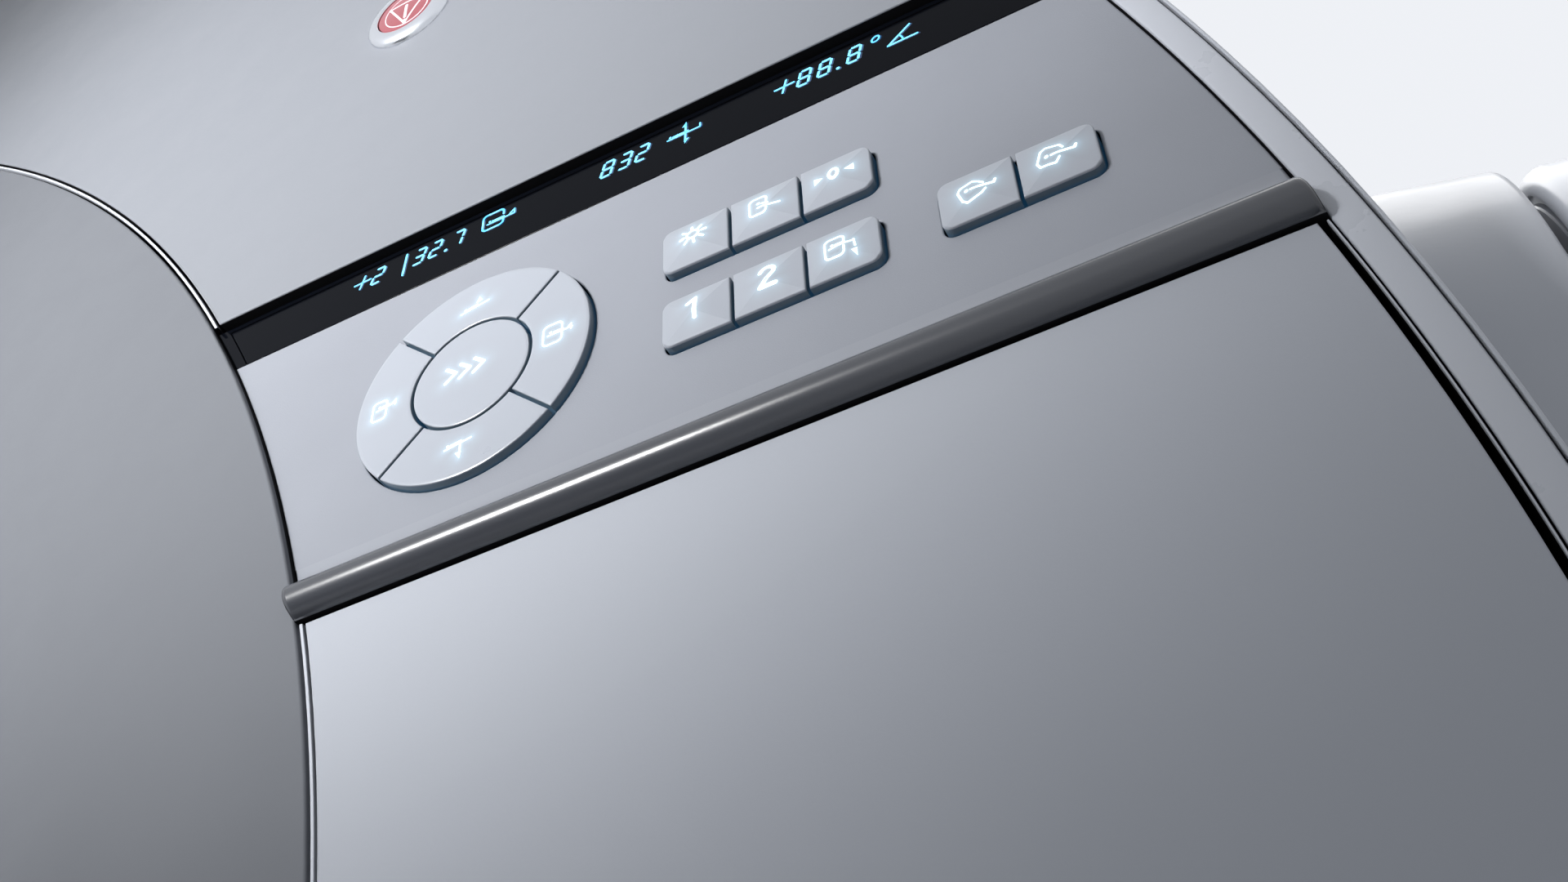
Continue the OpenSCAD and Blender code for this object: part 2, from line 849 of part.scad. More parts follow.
module side_box() {
    translate([side_box_in, -side_box_h, -plate_z])
        cube([side_box_t, 2 * side_box_h, plate_z + box_front]);
}

module hv_generator() color("darkkhaki") face() {
    left_side() side_box();
    for (i = [-1, 0, 1])
        translate([-side_box_in - side_box_t / 2, i * 60, box_front - eps]) cylinder(r = 20, h = 25);
}

module tube_cooler() color("lightgray") face() difference() {
    side_box();
    for (i = [-7:7])
        translate([side_box_in + 20, i * 15 - 4, -60]) cube([side_box_t, 8, 2 * box_front]);
}

// Base and stands
module skid() {
    foot_end = anchor_y + 35;
    difference() {
        union() {
            translate([stand_x + 8, -beam_out, 0])
                cube([stand_w - 24, 2 * beam_out, base_h]);
            translate([stand_x, -foot_end, 0]) cube([stand_w - 3, 2 * foot_end, foot_t]);
        }
        for (y = [-1, 1])
            translate([anchor_x, y * anchor_y, -1]) cylinder(r = anchor_r, h = foot_t + 2);
    }
}

module base_frame() color("dimgray") {
    right_side() skid();
    left_side() skid();
    for (y = [-1, 1])
        translate([-stand_x - 10, y > 0 ? beam_in : -beam_out, 0])
            cube([2 * stand_x + 20, beam_out - beam_in, base_h - 4]);
}

// Low cover between the stands, with the cable duct to the table
module base_cover() color("gainsboro") {
    half = stand_x - 2;
    out = beam_out + 4;
    difference() {
        translate([-half, -out, 4]) cube([2 * half, 2 * out, base_h]);
        translate([-half - 1, -beam_out, 0]) cube([2 * half + 2, 2 * beam_out, base_h - 4]);
        translate([-half - 1, -beam_in + 1, 0]) cube([2 * half + 2, 2 * beam_in - 2, base_h]);
    }
    difference() {
        translate([-duct_w, -plinth_y, 0]) cube([2 * duct_w, plinth_y - out + eps, duct_h]);
        translate([-duct_w + 3, -plinth_y - 1, -1]) cube([2 * duct_w - 6, plinth_y, duct_h - 2]);
    }
}

module stand_outline() {
    foot = 200;
    head = trunnion_r + bearing_w + 45;
    polygon(concat(
        [[-foot, base_h - iso_h], [foot, base_h - iso_h], [foot, base_h - iso_h + 60]],
        arc(0, 0, head, -10, 190, 16),
        [[-foot, base_h - iso_h + 60]]
    ));
}

module stand_casting() {
    difference() {
        at_iso() along_x(casting_x, casting_x + casting_t) difference() {
            stand_outline();
            circle(trunnion_r + bearing_w);
            for (i = [0:2])
                translate([-window_half, -window_top - i * window_step])
                    square([2 * window_half, window_h]);
        }
    }
}

module stand_right() color("darkslategray") right_side() stand_casting();
module stand_left() color("darkslategray") left_side() stand_casting();

module tilt_bearing() {
    at_iso() translate([casting_x, 0, 0]) rotate([0, 90, 0])
        tube_ring(trunnion_r + bearing_w, trunnion_r + run_clear, 0, casting_t);
}

module tilt_bearing_right() color("silver") right_side() tilt_bearing();
module tilt_bearing_left() color("silver") left_side() tilt_bearing();

module tilt_drive() color("olive") at_iso() difference() {
    along_x(casting_x + casting_t, casting_x + casting_t + drive_w) union() {
        circle(drive_r);
        translate([-drive_r, -drive_drop]) square([2 * drive_r, drive_drop]);
    }
    rotate([0, 90, 0]) cylinder(r = stub_r + run_clear, h = big);
}

// Stand cover: the shoulder's outline carried on, and down to the feet
module stand_slab(x, grow) {
    at_iso() along_x(x, x + eps)
        rounded_outline(shoulder_d + grow, shoulder_h + grow, foot_t - iso_h,
            shoulder_r + grow, stand_foot_r);
}

module stand_form(wall) {
    hull() {
        for (a = [0:30:90]) {
            drop = stand_edge * (1 - sin(a));
            inset = stand_in + wall + stand_edge * (1 - cos(a));
            stand_slab(stand_x + wall + drop, -inset);
            stand_slab(stand_out - wall - drop - eps, -inset - stand_taper);
        }
    }
}

// The raised plate on the stand's inner face, bounded by a groove
module stand_plate(inset) {
    at_iso() along_x(stand_x - 1, stand_x + plate_groove_d)
        rounded_outline(shoulder_d - inset, shoulder_h - inset, foot_t - iso_h + inset,
            shoulder_r - inset, stand_foot_r - inset / 2);
}

module stand_cover() {
    difference() {
        stand_form(0);
        translate([0, 0, -stand_t]) stand_form(stand_t);
        translate([stand_x - 1, -beam_out - 5, 0]) cube([stand_t + 2, 2 * beam_out + 10, base_h + 8]);
        at_iso() rotate([0, 90, 0]) cylinder(r = shaft_hole, h = stand_x + 2 * stand_t);
        difference() {
            stand_plate(plate_in);
            stand_plate(plate_in + plate_groove);
        }
    }
}

module stand_cover_right() color("gainsboro") right_side() stand_cover();
module stand_cover_left() color("gainsboro") left_side() stand_cover();

// Patient table
module plinth_outline(inset) {
    translate([0, -plinth_y - plinth_l / 2])
        rounded_outline(plinth_w - inset, plinth_l / 2 - inset, inset - plinth_l / 2,
            cover_round - inset, cover_round - inset);
}

module post_places() {
    for (y = [plinth_y + post_inset_y, plinth_y + plinth_l - post_inset_y])
        translate([0, -y, 0]) children();
}

module table_base() color("dimgray") {
    difference() {
        translate([-plinth_w - table_ear, -plinth_y - plinth_l, 0])
            cube([2 * plinth_w + 2 * table_ear, plinth_l, table_foot]);
        for (x = [-1, 1], y = [plinth_y + 60, plinth_y + plinth_l - 60])
            translate([x * (plinth_w + table_ear / 2), -y, -1]) cylinder(r = anchor_r, h = table_foot + 2);
    }
    post_places() translate([0, 0, table_foot - eps]) cylinder(r = post_r, h = post_top - table_foot);
}

module table_cover() color("gainsboro") difference() {
    translate([0, 0, table_foot]) linear_extrude(plinth_h) plinth_outline(0);
    translate([0, 0, table_foot - 1]) linear_extrude(plinth_h - stand_t + 1) plinth_outline(stand_t);
    translate([0, 0, table_foot]) linear_extrude(plinth_h + 1) plinth_outline(bellows_in + fold_d + 4);
}

// Bellows: rings of points that go in and out fold by fold
function bellows_ring(inset, z) = [
    for (q = [0:3], i = [0:4])
        let (r = 30, a = q * 90 + i * 22.5, w = plinth_w - inset - r, l = plinth_l / 2 - inset - r)
            [
                (q == 0 || q == 3 ? w : -w) + r * cos(a),
                (q < 2 ? l : -l) + r * sin(a) - plinth_y - plinth_l / 2,
                z
            ]
];

module bellows_form(inset_out, inset_in) {
    levels = 2 * folds;
    n = 20;
    rise = (bellows_top - bellows_low) / levels;
    points = [for (k = [0:levels])
        each bellows_ring(k % 2 == 0 ? inset_in : inset_out, bellows_low + k * rise)];
    sides = [for (k = [0:levels - 1], i = [0:n - 1])
        let (a = k * n + i, b = k * n + (i + 1) % n)
            each [[b, a, a + n], [b, a + n, b + n]]];
    polyhedron(points = points, faces = concat(
        sides,
        [[for (i = [0:n - 1]) i]],
        [[for (i = [n - 1:-1:0]) levels * n + i]]
    ));
}

module table_bellows() color("darkslategray") difference() {
    bellows_form(bellows_in, bellows_in + fold_d);
    translate([0, 0, bellows_low - 1]) linear_extrude(bellows_top - bellows_low + 2)
        plinth_outline(bellows_in + fold_d + 3);
}

module table_frame() color("lightgray") {
    front = cradle_out + carrier_over;
    rear = cradle_out + cradle_l - 20;
    difference() {
        union() {
            translate([-carrier_w, -rear, carrier_low])
                cube([2 * carrier_w, rear - front, carrier_t - slide_gap]);
            translate([0, 0, bellows_top]) linear_extrude(plate_h + eps) plinth_outline(bellows_in);
            post_places() translate([0, 0, guide_low])
                cylinder(r = post_r + guide_wall, h = carrier_low - guide_low + eps);
        }
        translate([-carrier_w + carrier_wall, -rear + carrier_wall, carrier_low + carrier_wall])
            cube([
                2 * (carrier_w - carrier_wall),
                rear - front - 2 * carrier_wall,
                carrier_t - slide_gap - 2 * carrier_wall
            ]);
        post_places() translate([0, 0, guide_low - 1])
            cylinder(r = post_r + run_clear, h = carrier_low + 2 * carrier_wall - guide_low);
    }
}

module trough(half, base, low_r, top_r) {
    difference() {
        intersection() {
            translate([0, base + low_r]) circle(low_r, $fn = 360);
            translate([-half, base]) square([2 * half, cradle_z - base]);
        }
        translate([0, cradle_z - cradle_sag + top_r]) circle(top_r, $fn = 360);
    }
}

module cradle() color("dimgray") {
    top_r = trough_r(cradle_w - trough_rim, cradle_sag);
    difference() {
        along_y(-cradle_out - cradle_l, -cradle_out)
            trough(cradle_w, cradle_base, trough_r(cradle_w, cradle_rise), top_r);
        for (side = [-1, 1])
            translate([side * cradle_w, -cradle_out, 0]) rotate(side > 0 ? 45 : -45)
                cube([cradle_cut, cradle_cut, 3 * iso_h], center = true);
    }
    for (side = [-1, 1])
        translate([side * runner_x - runner_w / 2, runner_end - cradle_out - cradle_l, cradle_base])
            cube([runner_w, cradle_l - carrier_over - 2 * runner_end, cradle_t - cradle_sag - 5]);
}

module mattress() color("darkslateblue") {
    w = cradle_w - pad_side;
    top_r = trough_r(cradle_w - trough_rim, cradle_sag);
    along_y(-cradle_out - cradle_l + pad_foot, -cradle_out - pad_head) intersection() {
        translate([0, cradle_z - cradle_sag + top_r]) circle(top_r - slide_gap, $fn = 360);
        translate([-w, cradle_z - cradle_sag]) square([2 * w, pad_sheet]);
    }
}

module head_holder() color("dimgray") {
    z = cradle_z - cradle_sag + slide_gap + head_r;
    along_y(-cradle_out - head_in - head_l, -cradle_out - head_in) difference() {
        translate([0, z]) circle(head_r);
        translate([0, z]) circle(head_r - head_wall);
        translate([-head_r, z - head_open]) square([2 * head_r, 2 * head_r]);
    }
}

trim_ring();
front_cover_upper();
front_cover_lower();
bore_cover_front();
bore_cover_rear();
scan_window();
rear_cover();
shell_upper();
shell_lower();
shoulder_left();
shoulder_right();
stator_frame();
bearing_outer();
drive_stator();
brush_block();
control_panel();
display_window();
keypad_board();
stop_bezel();
stop_button();
pad_middle();
pad_up();
pad_left();
pad_down();
pad_right();
key_light();
key_load();
key_zero();
key_one();
key_two();
key_unload();
key_tilt_back();
key_tilt_front();
rotor_drum();
bearing_inner();
drive_magnets();
slip_ring();
xray_tube();
collimator();
detector();
hv_generator();
tube_cooler();
base_frame();
base_cover();
stand_left();
stand_right();
stand_cover_left();
stand_cover_right();
tilt_bearing_left();
tilt_bearing_right();
tilt_drive();
table_base();
table_cover();
table_bellows();
table_frame();
cradle();
mattress();
head_holder();
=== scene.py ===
"""CT scanner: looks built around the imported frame. Sizes in millimetres, turned to metres on the way in."""

import json
import math

import bmesh
import bpy
from mathutils import Matrix, Vector
from mathutils.geometry import tessellate_polygon


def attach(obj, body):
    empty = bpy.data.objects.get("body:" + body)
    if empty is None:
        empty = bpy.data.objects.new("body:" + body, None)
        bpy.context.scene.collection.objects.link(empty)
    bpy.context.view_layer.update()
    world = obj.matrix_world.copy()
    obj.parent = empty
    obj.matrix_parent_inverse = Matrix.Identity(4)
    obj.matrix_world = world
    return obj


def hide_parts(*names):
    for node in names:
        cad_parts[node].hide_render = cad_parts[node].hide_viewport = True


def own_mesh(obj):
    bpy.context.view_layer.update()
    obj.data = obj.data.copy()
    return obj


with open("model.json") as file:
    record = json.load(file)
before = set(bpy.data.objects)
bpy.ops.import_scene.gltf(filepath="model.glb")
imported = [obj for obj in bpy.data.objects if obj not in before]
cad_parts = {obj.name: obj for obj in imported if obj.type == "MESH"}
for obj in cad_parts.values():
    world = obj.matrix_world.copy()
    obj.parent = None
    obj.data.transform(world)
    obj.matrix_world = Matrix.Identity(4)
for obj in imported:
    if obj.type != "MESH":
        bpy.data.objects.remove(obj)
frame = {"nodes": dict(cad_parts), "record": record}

# Sizes shared with the CAD frame
ISO_H = 1000.0
SHELL_R = 937.0
SHELL_T = 3.5
CHORD_DROP = 740.0
FACE_D = 490.0
RIM_Z = 489.0
RIM_IN = 8.6
GROOVE_OFF = 1.4
GROOVE_LOW = 478.0
LEDGE_Z = 459.0
LEDGE_T = 4.0
LEDGE_W = 20.0
COVER_OFF = 11.7
COVER_T = 3.0
RING_R = 670.0
RING_GAP = 3.0
RING_T = 4.0
RING_EDGE = 0.8
LIP_START = 596.0
LIP_ROUND = 90.0
LIP_Z = 400.0
BORE_R = 350.0
WINDOW_W = 60.0
CONE = math.radians(66.5)
PAD_X = 689.3
PAD_Y = 256.8
PAD_R = 38.0
PAD_MID_R = 18.8
PAD_SLOT = 1.0
PANEL_Z = 487.0
PANEL_LOW = 68.0
PANEL_HIGH = 74.9
PANEL_IN = 670.3
PANEL_OUT = 928.1
LIP_PROUD = 6.0
LIP_R = 5.5
SWEEP_R = 11.0
SWEEP = math.radians(55)
KEY_TOP = 489.5
KEY_LOW = 476.9
KEY_W = 19.9
KEY_H = 16.9
KEY_GAP = 0.95
KEY_CLEAR = 0.5
KEY_CORNER = 3.0
RISE = 1.4
BLOCK_X = 60.35
ROW_ONE = 21.7
ROW_TWO = -6.7
PAIR_X = 137.7
PAIR_Y = -6.85
BOARD_Z = 476.0
STRIP_LOW = 52.6
STRIP_H = 20.6
GLASS_RIM = 3.5
GLASS_T = 2.5
STOP_DX = 47.7
STOP_DY = 213.3
BEZEL_R = 18.0
BEZEL_IN = 12.4
BEZEL_H = 3.0
STOP_GAP = 1.8
SPLIT_HIGH = 333.0
SPLIT_LOW = 187.5
SEAM = 2.0
PITCH = KEY_W + KEY_GAP

RING_FLANGE = 9.0
WALL = 4.0

# Where the black painted shade ends on the walls of the groove, the trim and the covers
GROOVE_DARK = 487.4
TRIM_DARK = 487.8
EDGE_DARK = 488.0

# Distances from the scan plane below which a wall in a gap is painted black as painted shade
COVER_SHADE = 488.2
TRIM_SHADE = 488.0
PANEL_SHADE = 486.0


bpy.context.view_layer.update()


def at(x, y, z):
    """A point of the gantry's face, x right, y up from the scan axis and z towards the viewer."""
    return (x / 1000, -z / 1000, (ISO_H + y) / 1000)


def on_panel(x, y, z):
    return at(PAD_X + x, PAD_Y + y, z)


def put(name, data):
    """A new object, linked to the scene."""
    obj = bpy.data.objects.new(name, data)
    bpy.context.scene.collection.objects.link(obj)
    return obj


# Camera
def add_camera():
    data = bpy.data.cameras.new("camera")
    data.sensor_width = 36
    data.lens = 39.77
    data.clip_start = 0.02
    data.clip_end = 60
    cam = put("camera", data)
    right = Vector((0.885062, 0.4635369, -0.0424094))
    up = Vector((0.349068, -0.6006953, 0.7192471))
    back = Vector((0.3079225, -0.6513821, -0.6934588))
    turn = Matrix((right, up, back)).transposed().to_4x4()
    cam.matrix_world = Matrix.Translation((0.90308, -0.7453146, 0.913312)) @ turn
    bpy.context.scene.camera = cam


add_camera()


# Materials
LIP_FROM = -0.4915
LIP_TO = -0.4872
WALL_FOOT = -0.48765
WALL_DARK = -0.48705


def feed(tree, node, inputs):
    """Gives a node's inputs their values, or links them to the sockets handed in."""
    for name, value in inputs.items():
        if isinstance(value, bpy.types.NodeSocket):
            tree.links.new(value, node.inputs[name])
        else:
            node.inputs[name].default_value = value


def build(tree, kind, inputs, **fields):
    """A shader node with its fields set and its inputs fed."""
    node = tree.nodes.new("ShaderNode" + kind)
    for field, value in fields.items():
        setattr(node, field, value)
    feed(tree, node, inputs)
    return node


# Every paint by its name
M = {}


def new_tree(name):
    """A material, its tree, its surface node and the object's coordinates."""
    mat = bpy.data.materials.new(name)
    M[name] = mat
    mat.use_nodes = True
    tree = mat.node_tree
    return mat, tree, tree.nodes["Principled BSDF"], build(tree, "TexCoord", {}).outputs["Object"]


def parts(mat):
    """The tree and the surface node of a finished material."""
    return mat.node_tree, mat.node_tree.nodes["Principled BSDF"]


def depth_in(tree):
    """How deep a point lies behind the gantry's face, as its Y in metres."""
    where = build(tree, "TexCoord", {}).outputs["Object"]
    return build(tree, "SeparateXYZ", {"Vector": where}).outputs["Y"]


def full(colour, times=1.0):
    return (*[c * times for c in colour], 1)


def noise(tree, vector, scale, detail=2.0, rough=0.5):
    node = build(tree, "TexNoise", {"Vector": vector, "Scale": scale, "Detail": detail, "Roughness": rough})
    return node.outputs["Fac"] if "Fac" in node.outputs else node.outputs[0]


def spread(tree, value, low, high, from_low=0.3, from_high=0.7):
    limits = {"From Min": from_low, "From Max": from_high, "To Min": low, "To Max": high}
    return build(tree, "MapRange", {"Value": value, **limits}).outputs["Result"]


def tint(tree, factor, first, second):
    node = build(tree, "Mix", {"Factor": factor}, data_type="RGBA")
    ends = [socket for socket in node.inputs if socket.type == "RGBA"]
    ends[0].default_value = full(first)
    ends[1].default_value = full(second)
    return [socket for socket in node.outputs if socket.type == "RGBA"][0]


def bump(tree, bsdf, height, strength, distance):
    node = build(tree, "Bump", {"Strength": strength, "Distance": distance, "Height": height})
    feed(tree, bsdf, {"Normal": node.outputs["Normal"]})


def finish(name, colour, rough, metal=0.0, specular=0.5, coat=0.0, vary=0.04, grain=600, depth=0.00004,
           patch=5.0):
    """A procedural finish: slow colour drift, uneven gloss and a fine surface texture."""
    mat, tree, bsdf, where = new_tree(name)
    drift = spread(tree, noise(tree, where, patch, 4), 0, 1)
    dark = tuple(c * (1 - vary) for c in colour)
    light = tuple(min(1, c * (1 + vary)) for c in colour)
    wear = spread(tree, noise(tree, where, patch * 7, 5, 0.6), rough * 0.9, min(1, rough * 1.12))
    feed(tree, bsdf, {"Base Color": tint(tree, drift, dark, light), "Roughness": wear, "Metallic": metal,
                      "Specular IOR Level": specular, "Coat Weight": coat, "Coat Roughness": 0.12})
    if depth:
        bump(tree, bsdf, noise(tree, where, grain, 2), 0.6, depth)
    return mat


def brushed(name, colour, rough, lines=400.0):
    """Turned or ground metal: fine rings across the axis of the gantry."""
    mat, tree, bsdf, where = new_tree(name)
    wave = build(tree, "TexWave", {"Vector": where, "Scale": lines, "Distortion": 2.0},
                 wave_type="BANDS", bands_direction="Y")
    streak = wave.outputs["Fac"] if "Fac" in wave.outputs else wave.outputs[1]
    dark = tuple(c * 0.92 for c in colour)
    wear = spread(tree, noise(tree, where, 40, 4), rough * 0.8, rough * 1.2)
    feed(tree, bsdf, {"Base Color": tint(tree, streak, dark, colour), "Roughness": wear, "Metallic": 1.0})
    bump(tree, bsdf, streak, 0.2, 0.00003)
    return mat


def weave(name, colour, rough):
    """Laminate with a fine checked weave under a clear coat."""
    mat, tree, bsdf, where = new_tree(name)
    check = build(tree, "TexChecker", {"Vector": where, "Scale": 500, "Color1": full(colour, 0.8),
                                       "Color2": full(colour, 1.35)})
    feed(tree, bsdf, {"Base Color": check.outputs["Color"], "Roughness": rough, "Coat Weight": 0.6,
                      "Coat Roughness": 0.1})
    return mat


def glow(name, colour, strength):
    """A lit figure or sign."""
    mat, tree, bsdf, where = new_tree(name)
    lit = spread(tree, noise(tree, where, 900, 2), strength * 0.92, strength)
    feed(tree, bsdf, {"Base Color": full(colour, 0.6), "Roughness": 0.4, "Emission Color": full(colour),
                      "Emission Strength": lit})
    return mat


def halo(name, colour, rough, light, strength):
    """A key's moulding, lit from inside round its sign by the piece's own glow values."""
    mat = finish(name, colour, rough, vary=0.01, depth=0, patch=3)
    tree, bsdf = parts(mat)
    near = build(tree, "Attribute", {}, attribute_name="glow").outputs["Fac"]
    feed(tree, bsdf, {"Emission Color": full(light),
                      "Emission Strength": spread(tree, near, 0, strength, 0, 1)})
    return mat


def lit_wall(name, colour, light, strength):
    """A key's side wall, its dark colour painted shade, with a painted glow on its foot for the lamps below.
    """
    mat = finish(name, colour, 0.3, vary=0.08, depth=0)
    tree, bsdf = parts(mat)
    foot = spread(tree, depth_in(tree), 0, strength, WALL_FOOT, WALL_DARK)
    feed(tree, bsdf, {"Emission Color": full(light), "Emission Strength": foot})
    return mat


def shaded_lip(name, flat, deep):
    """The panel's paint with painted shade: darker, and glossier, where the moulding sweeps up to its lip."""
    mat = finish(name, flat, 0.3, specular=0.6, grain=2600, depth=0.00002, patch=18)
    tree, bsdf = parts(mat)
    rise = spread(tree, depth_in(tree), 1, 0, LIP_FROM, LIP_TO)
    feed(tree, bsdf, {"Base Color": tint(tree, rise, flat, deep),
                      "Roughness": spread(tree, rise, 0.36, 0.24)})
    return mat


MATT = {"vary": 0.02, "grain": 700, "depth": 0.00003}
PANEL_PAINT = (0.225, 0.237, 0.268)

finish("cover_pale", (0.43, 0.45, 0.495), 0.34, coat=0.2, grain=450)
# Upper cover: the lower cover's paint made darker, a copy of it with painted shade
finish("cover_upper", (0.19, 0.2, 0.222), 0.5, specular=0.2, **MATT)
finish("cover_front", (0.37, 0.388, 0.43), 0.5, specular=0.2, **MATT)
finish("cover_bore", (0.132, 0.139, 0.154), 0.55, specular=0.1, **MATT)
finish("trim_pale", (0.47, 0.49, 0.54), 0.28, coat=0.3, grain=450, depth=0.00002)
finish("panel_grey", PANEL_PAINT, 0.36, specular=0.4, grain=2600, depth=0.00006, patch=18)
# Panel lip: the darkening up the sweep towards the ridge is painted shade
shaded_lip("lip_grey_with_painted_shade", PANEL_PAINT, (0.05, 0.053, 0.062))
finish("display_glass", (0.002, 0.0025, 0.004), 0.12, specular=0.03, depth=0, vary=0.1)
# Black for the walls in the gaps: painted shade
finish("gap_painted_shade", (0.004, 0.004, 0.005), 0.7, specular=0.1, depth=0.00002)
finish("stop_red", (0.24, 0.05, 0.062), 0.3, coat=0.3, grain=1200, depth=0.00001, patch=60)
finish("bezel_silver", (0.72, 0.74, 0.78), 0.22, metal=1.0, grain=900, depth=0.00001)
finish("board_green", (0.03, 0.14, 0.06), 0.4, vary=0.3, grain=300, depth=0.00005, patch=60)
finish("window_film", (0.06, 0.06, 0.068), 0.25, specular=0.4, grain=300)
finish("frame_steel", (0.11, 0.12, 0.14), 0.45, metal=0.2, grain=350, depth=0.0001)
finish("cast_frame", (0.14, 0.15, 0.17), 0.6, metal=0.1, grain=160, depth=0.0003)
brushed("bearing_steel", (0.6, 0.61, 0.63), 0.28)
finish("drive_paint", (0.14, 0.19, 0.23), 0.4, coat=0.2, grain=300)
brushed("copper_windings", (0.62, 0.33, 0.18), 0.35, 900.0)
brushed("magnet_dark", (0.22, 0.22, 0.24), 0.4, 120.0)
finish("moulded_black", (0.03, 0.03, 0.034), 0.5, grain=900)
brushed("rotor_alloy", (0.6, 0.61, 0.63), 0.33, 250.0)
brushed("slip_brass", (0.72, 0.56, 0.25), 0.25, 500.0)
finish("tube_housing", (0.5, 0.52, 0.55), 0.35, metal=0.8, grain=300)
finish("collimator_dark", (0.1, 0.11, 0.12), 0.45, metal=0.4, grain=300)
finish("detector_blue", (0.25, 0.32, 0.42), 0.38, metal=0.7, grain=500)
finish("generator_paint", (0.36, 0.34, 0.26), 0.45, grain=260, depth=0.0001)
finish("bellows_rubber", (0.04, 0.043, 0.05), 0.62, grain=500, depth=0.00015)
weave("cradle_dark", (0.04, 0.042, 0.047), 0.35)
finish("mattress_vinyl", (0.05, 0.075, 0.14), 0.4, grain=420, depth=0.0002, patch=9)
halo("key_pearl", (0.30, 0.32, 0.36), 0.3, (0.4, 0.8, 1.0), 0.26)
# Key side walls: dark colour as painted shade, blue glow at the foot as painted light
lit_wall("key_wall", (0.09, 0.135, 0.175), (0.03, 0.22, 0.5), 0.07)
finish("sign_pale", (0.72, 0.58, 0.62), 0.35, depth=0)
glow("sign_light", (0.75, 0.95, 1.0), 1.6)
glow("digit_light", (0.16, 0.6, 0.95), 1.3)
glow("digit_shadow", (0.01, 0.035, 0.09), 0.9)

# Solids that are painted otherwise than their slot says
OTHER_PAINT = {"rear_cover": "cover_pale", "stand_left": "cast_frame", "stand_right": "cast_frame",
               "table_frame": "rotor_alloy", "tube_cooler": "tube_housing"}


def dress_frame():
    for part in frame["record"]["subparts"]:
        for place in frame["nodes"][part["node"]].material_slots:
            place.link = "OBJECT"
            place.material = M[OTHER_PAINT.get(part["node"], part["material_slot"])]


dress_frame()


# Building pieces
def dress(name, mesh, body, nodes, mats):
    """Puts a mesh in the scene as a piece, with its paints, its nodes and its body."""
    for mat in mats:
        mesh.materials.append(mat)
    obj = put(name, mesh)
    for node in nodes:
        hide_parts(node)
    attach(obj, body)
    return obj


def crease(mesh, sharp, flat=False, outwards=False):
    """Marks the edges over the sharp angle and smooths the faces, turned outwards if asked."""
    work = bmesh.new()
    work.from_mesh(mesh)
    if outwards:
        bmesh.ops.recalc_face_normals(work, faces=work.faces)
    for edge in work.edges:
        edge.smooth = not (len(edge.link_faces) == 2 and edge.calc_face_angle(0) > math.radians(sharp))
    for face in work.faces:
        face.smooth = not flat
    work.to_mesh(mesh)
    work.free()


def make(name, verts, faces, slot, body="gantry", nodes=(), sharp=35.0, mats=None, flat=False):
    """A mesh piece: faces turned outwards, edges over the sharp angle kept crisp."""
    mesh = bpy.data.meshes.new(name)
    mesh.from_pydata(verts, [], faces)
    crease(mesh, sharp, flat, outwards=True)
    return dress(name, mesh, body, nodes, mats or (M[slot],))


def weigh(obj):
    mod = obj.modifiers.new("weighted", "WEIGHTED_NORMAL")
    mod.keep_sharp = True
    mod.weight = 60
    return obj


def quads(rows, count, closed, loop):
    """Faces between rows of points, the last row joined to the first if closed, each row's ends if a loop."""
    faces = []
    for k in range(rows if closed else rows - 1):
        a = k * count
        b = (k + 1) % rows * count
        for i in range(count if loop else count - 1):
            j = (i + 1) % count
            faces.append((a + i, a + j, b + j, b + i))
    return faces


def rings(loops, closed=False, caps=False):
    """Verts and faces of a skin through loops of equal length."""
    count = len(loops[0])
    faces = quads(len(loops), count, closed, True)
    if caps:
        top = (len(loops) - 1) * count
        faces.append(tuple(range(count)))
        faces.append(tuple(range(top + count - 1, top - 1, -1)))
    return [point for loop in loops for point in loop], faces


def ribbon(loops):
    """Verts and faces of a profile carried along an open run, closed at both ends."""
    count = len(loops[0])
    faces = quads(len(loops), count, True, False)
    for end in (0, count - 1):
        faces.append(tuple(k * count + end for k in range(len(loops))))
    return [point for loop in loops for point in loop], faces


def turns(count):
    """Angles in equal steps round a circle."""
    return [2 * math.pi * i / count for i in range(count)]


def lathe(name, profile, slot, nodes=(), steps=360, centre=(0.0, 0.0), body="gantry", sharp=35.0):
    """Turns a profile of (radius, z) about a centre on the gantry's face."""
    x, y = centre
    loops = [[at(x + radius * math.cos(a), y + radius * math.sin(a), z) for a in turns(steps)]
             for radius, z in profile]
    return make(name, *rings(loops, closed=True), slot, body, nodes, sharp)


def arc(x, y, r, start, end, steps):
    turned = [start + (end - start) * i / steps for i in range(steps + 1)]
    return [(x + r * math.cos(a), y + r * math.sin(a)) for a in turned]


def run(a, b, steps, first=1, more=0):
    """Points in equal steps along a line from a to b, the last left out."""
    return [(a[0] + (b[0] - a[0]) * i / steps, a[1] + (b[1] - a[1]) * i / steps)
            for i in range(first, steps + more)]


def dense(loop, pitch, whole):
    """A loop with points added along its sides."""
    points = []
    for a, b in zip(loop, loop[1:] + loop[:1]):
        points += run(a, b, max(1, whole(math.dist(a, b) / pitch)), 0)
    return points


def underside(r, low):
    """Points along the gantry's flat underside, between its two corners."""
    half = r * math.cos(math.asin(low / r))
    return run((-half, -low), (half, -low), 24)


def gantry_loop(inset, steps=320):
    """The gantry's outline: most of a circle and a flat underside."""
    r = SHELL_R - inset
    low = CHORD_DROP - inset
    corner = math.asin(low / r)
    return arc(0, 0, r, -corner, math.pi + corner, steps) + underside(r, low)


def gantry_sweep(name, profile, slot, nodes=(), sharp=35.0):
    """A profile of (inset, z) carried round the gantry's outline."""
    loops = [[at(x, y, z) for x, y in gantry_loop(inset)] for inset, z in profile]
    return make(name, *rings(loops, closed=True), slot, "gantry", nodes, sharp)


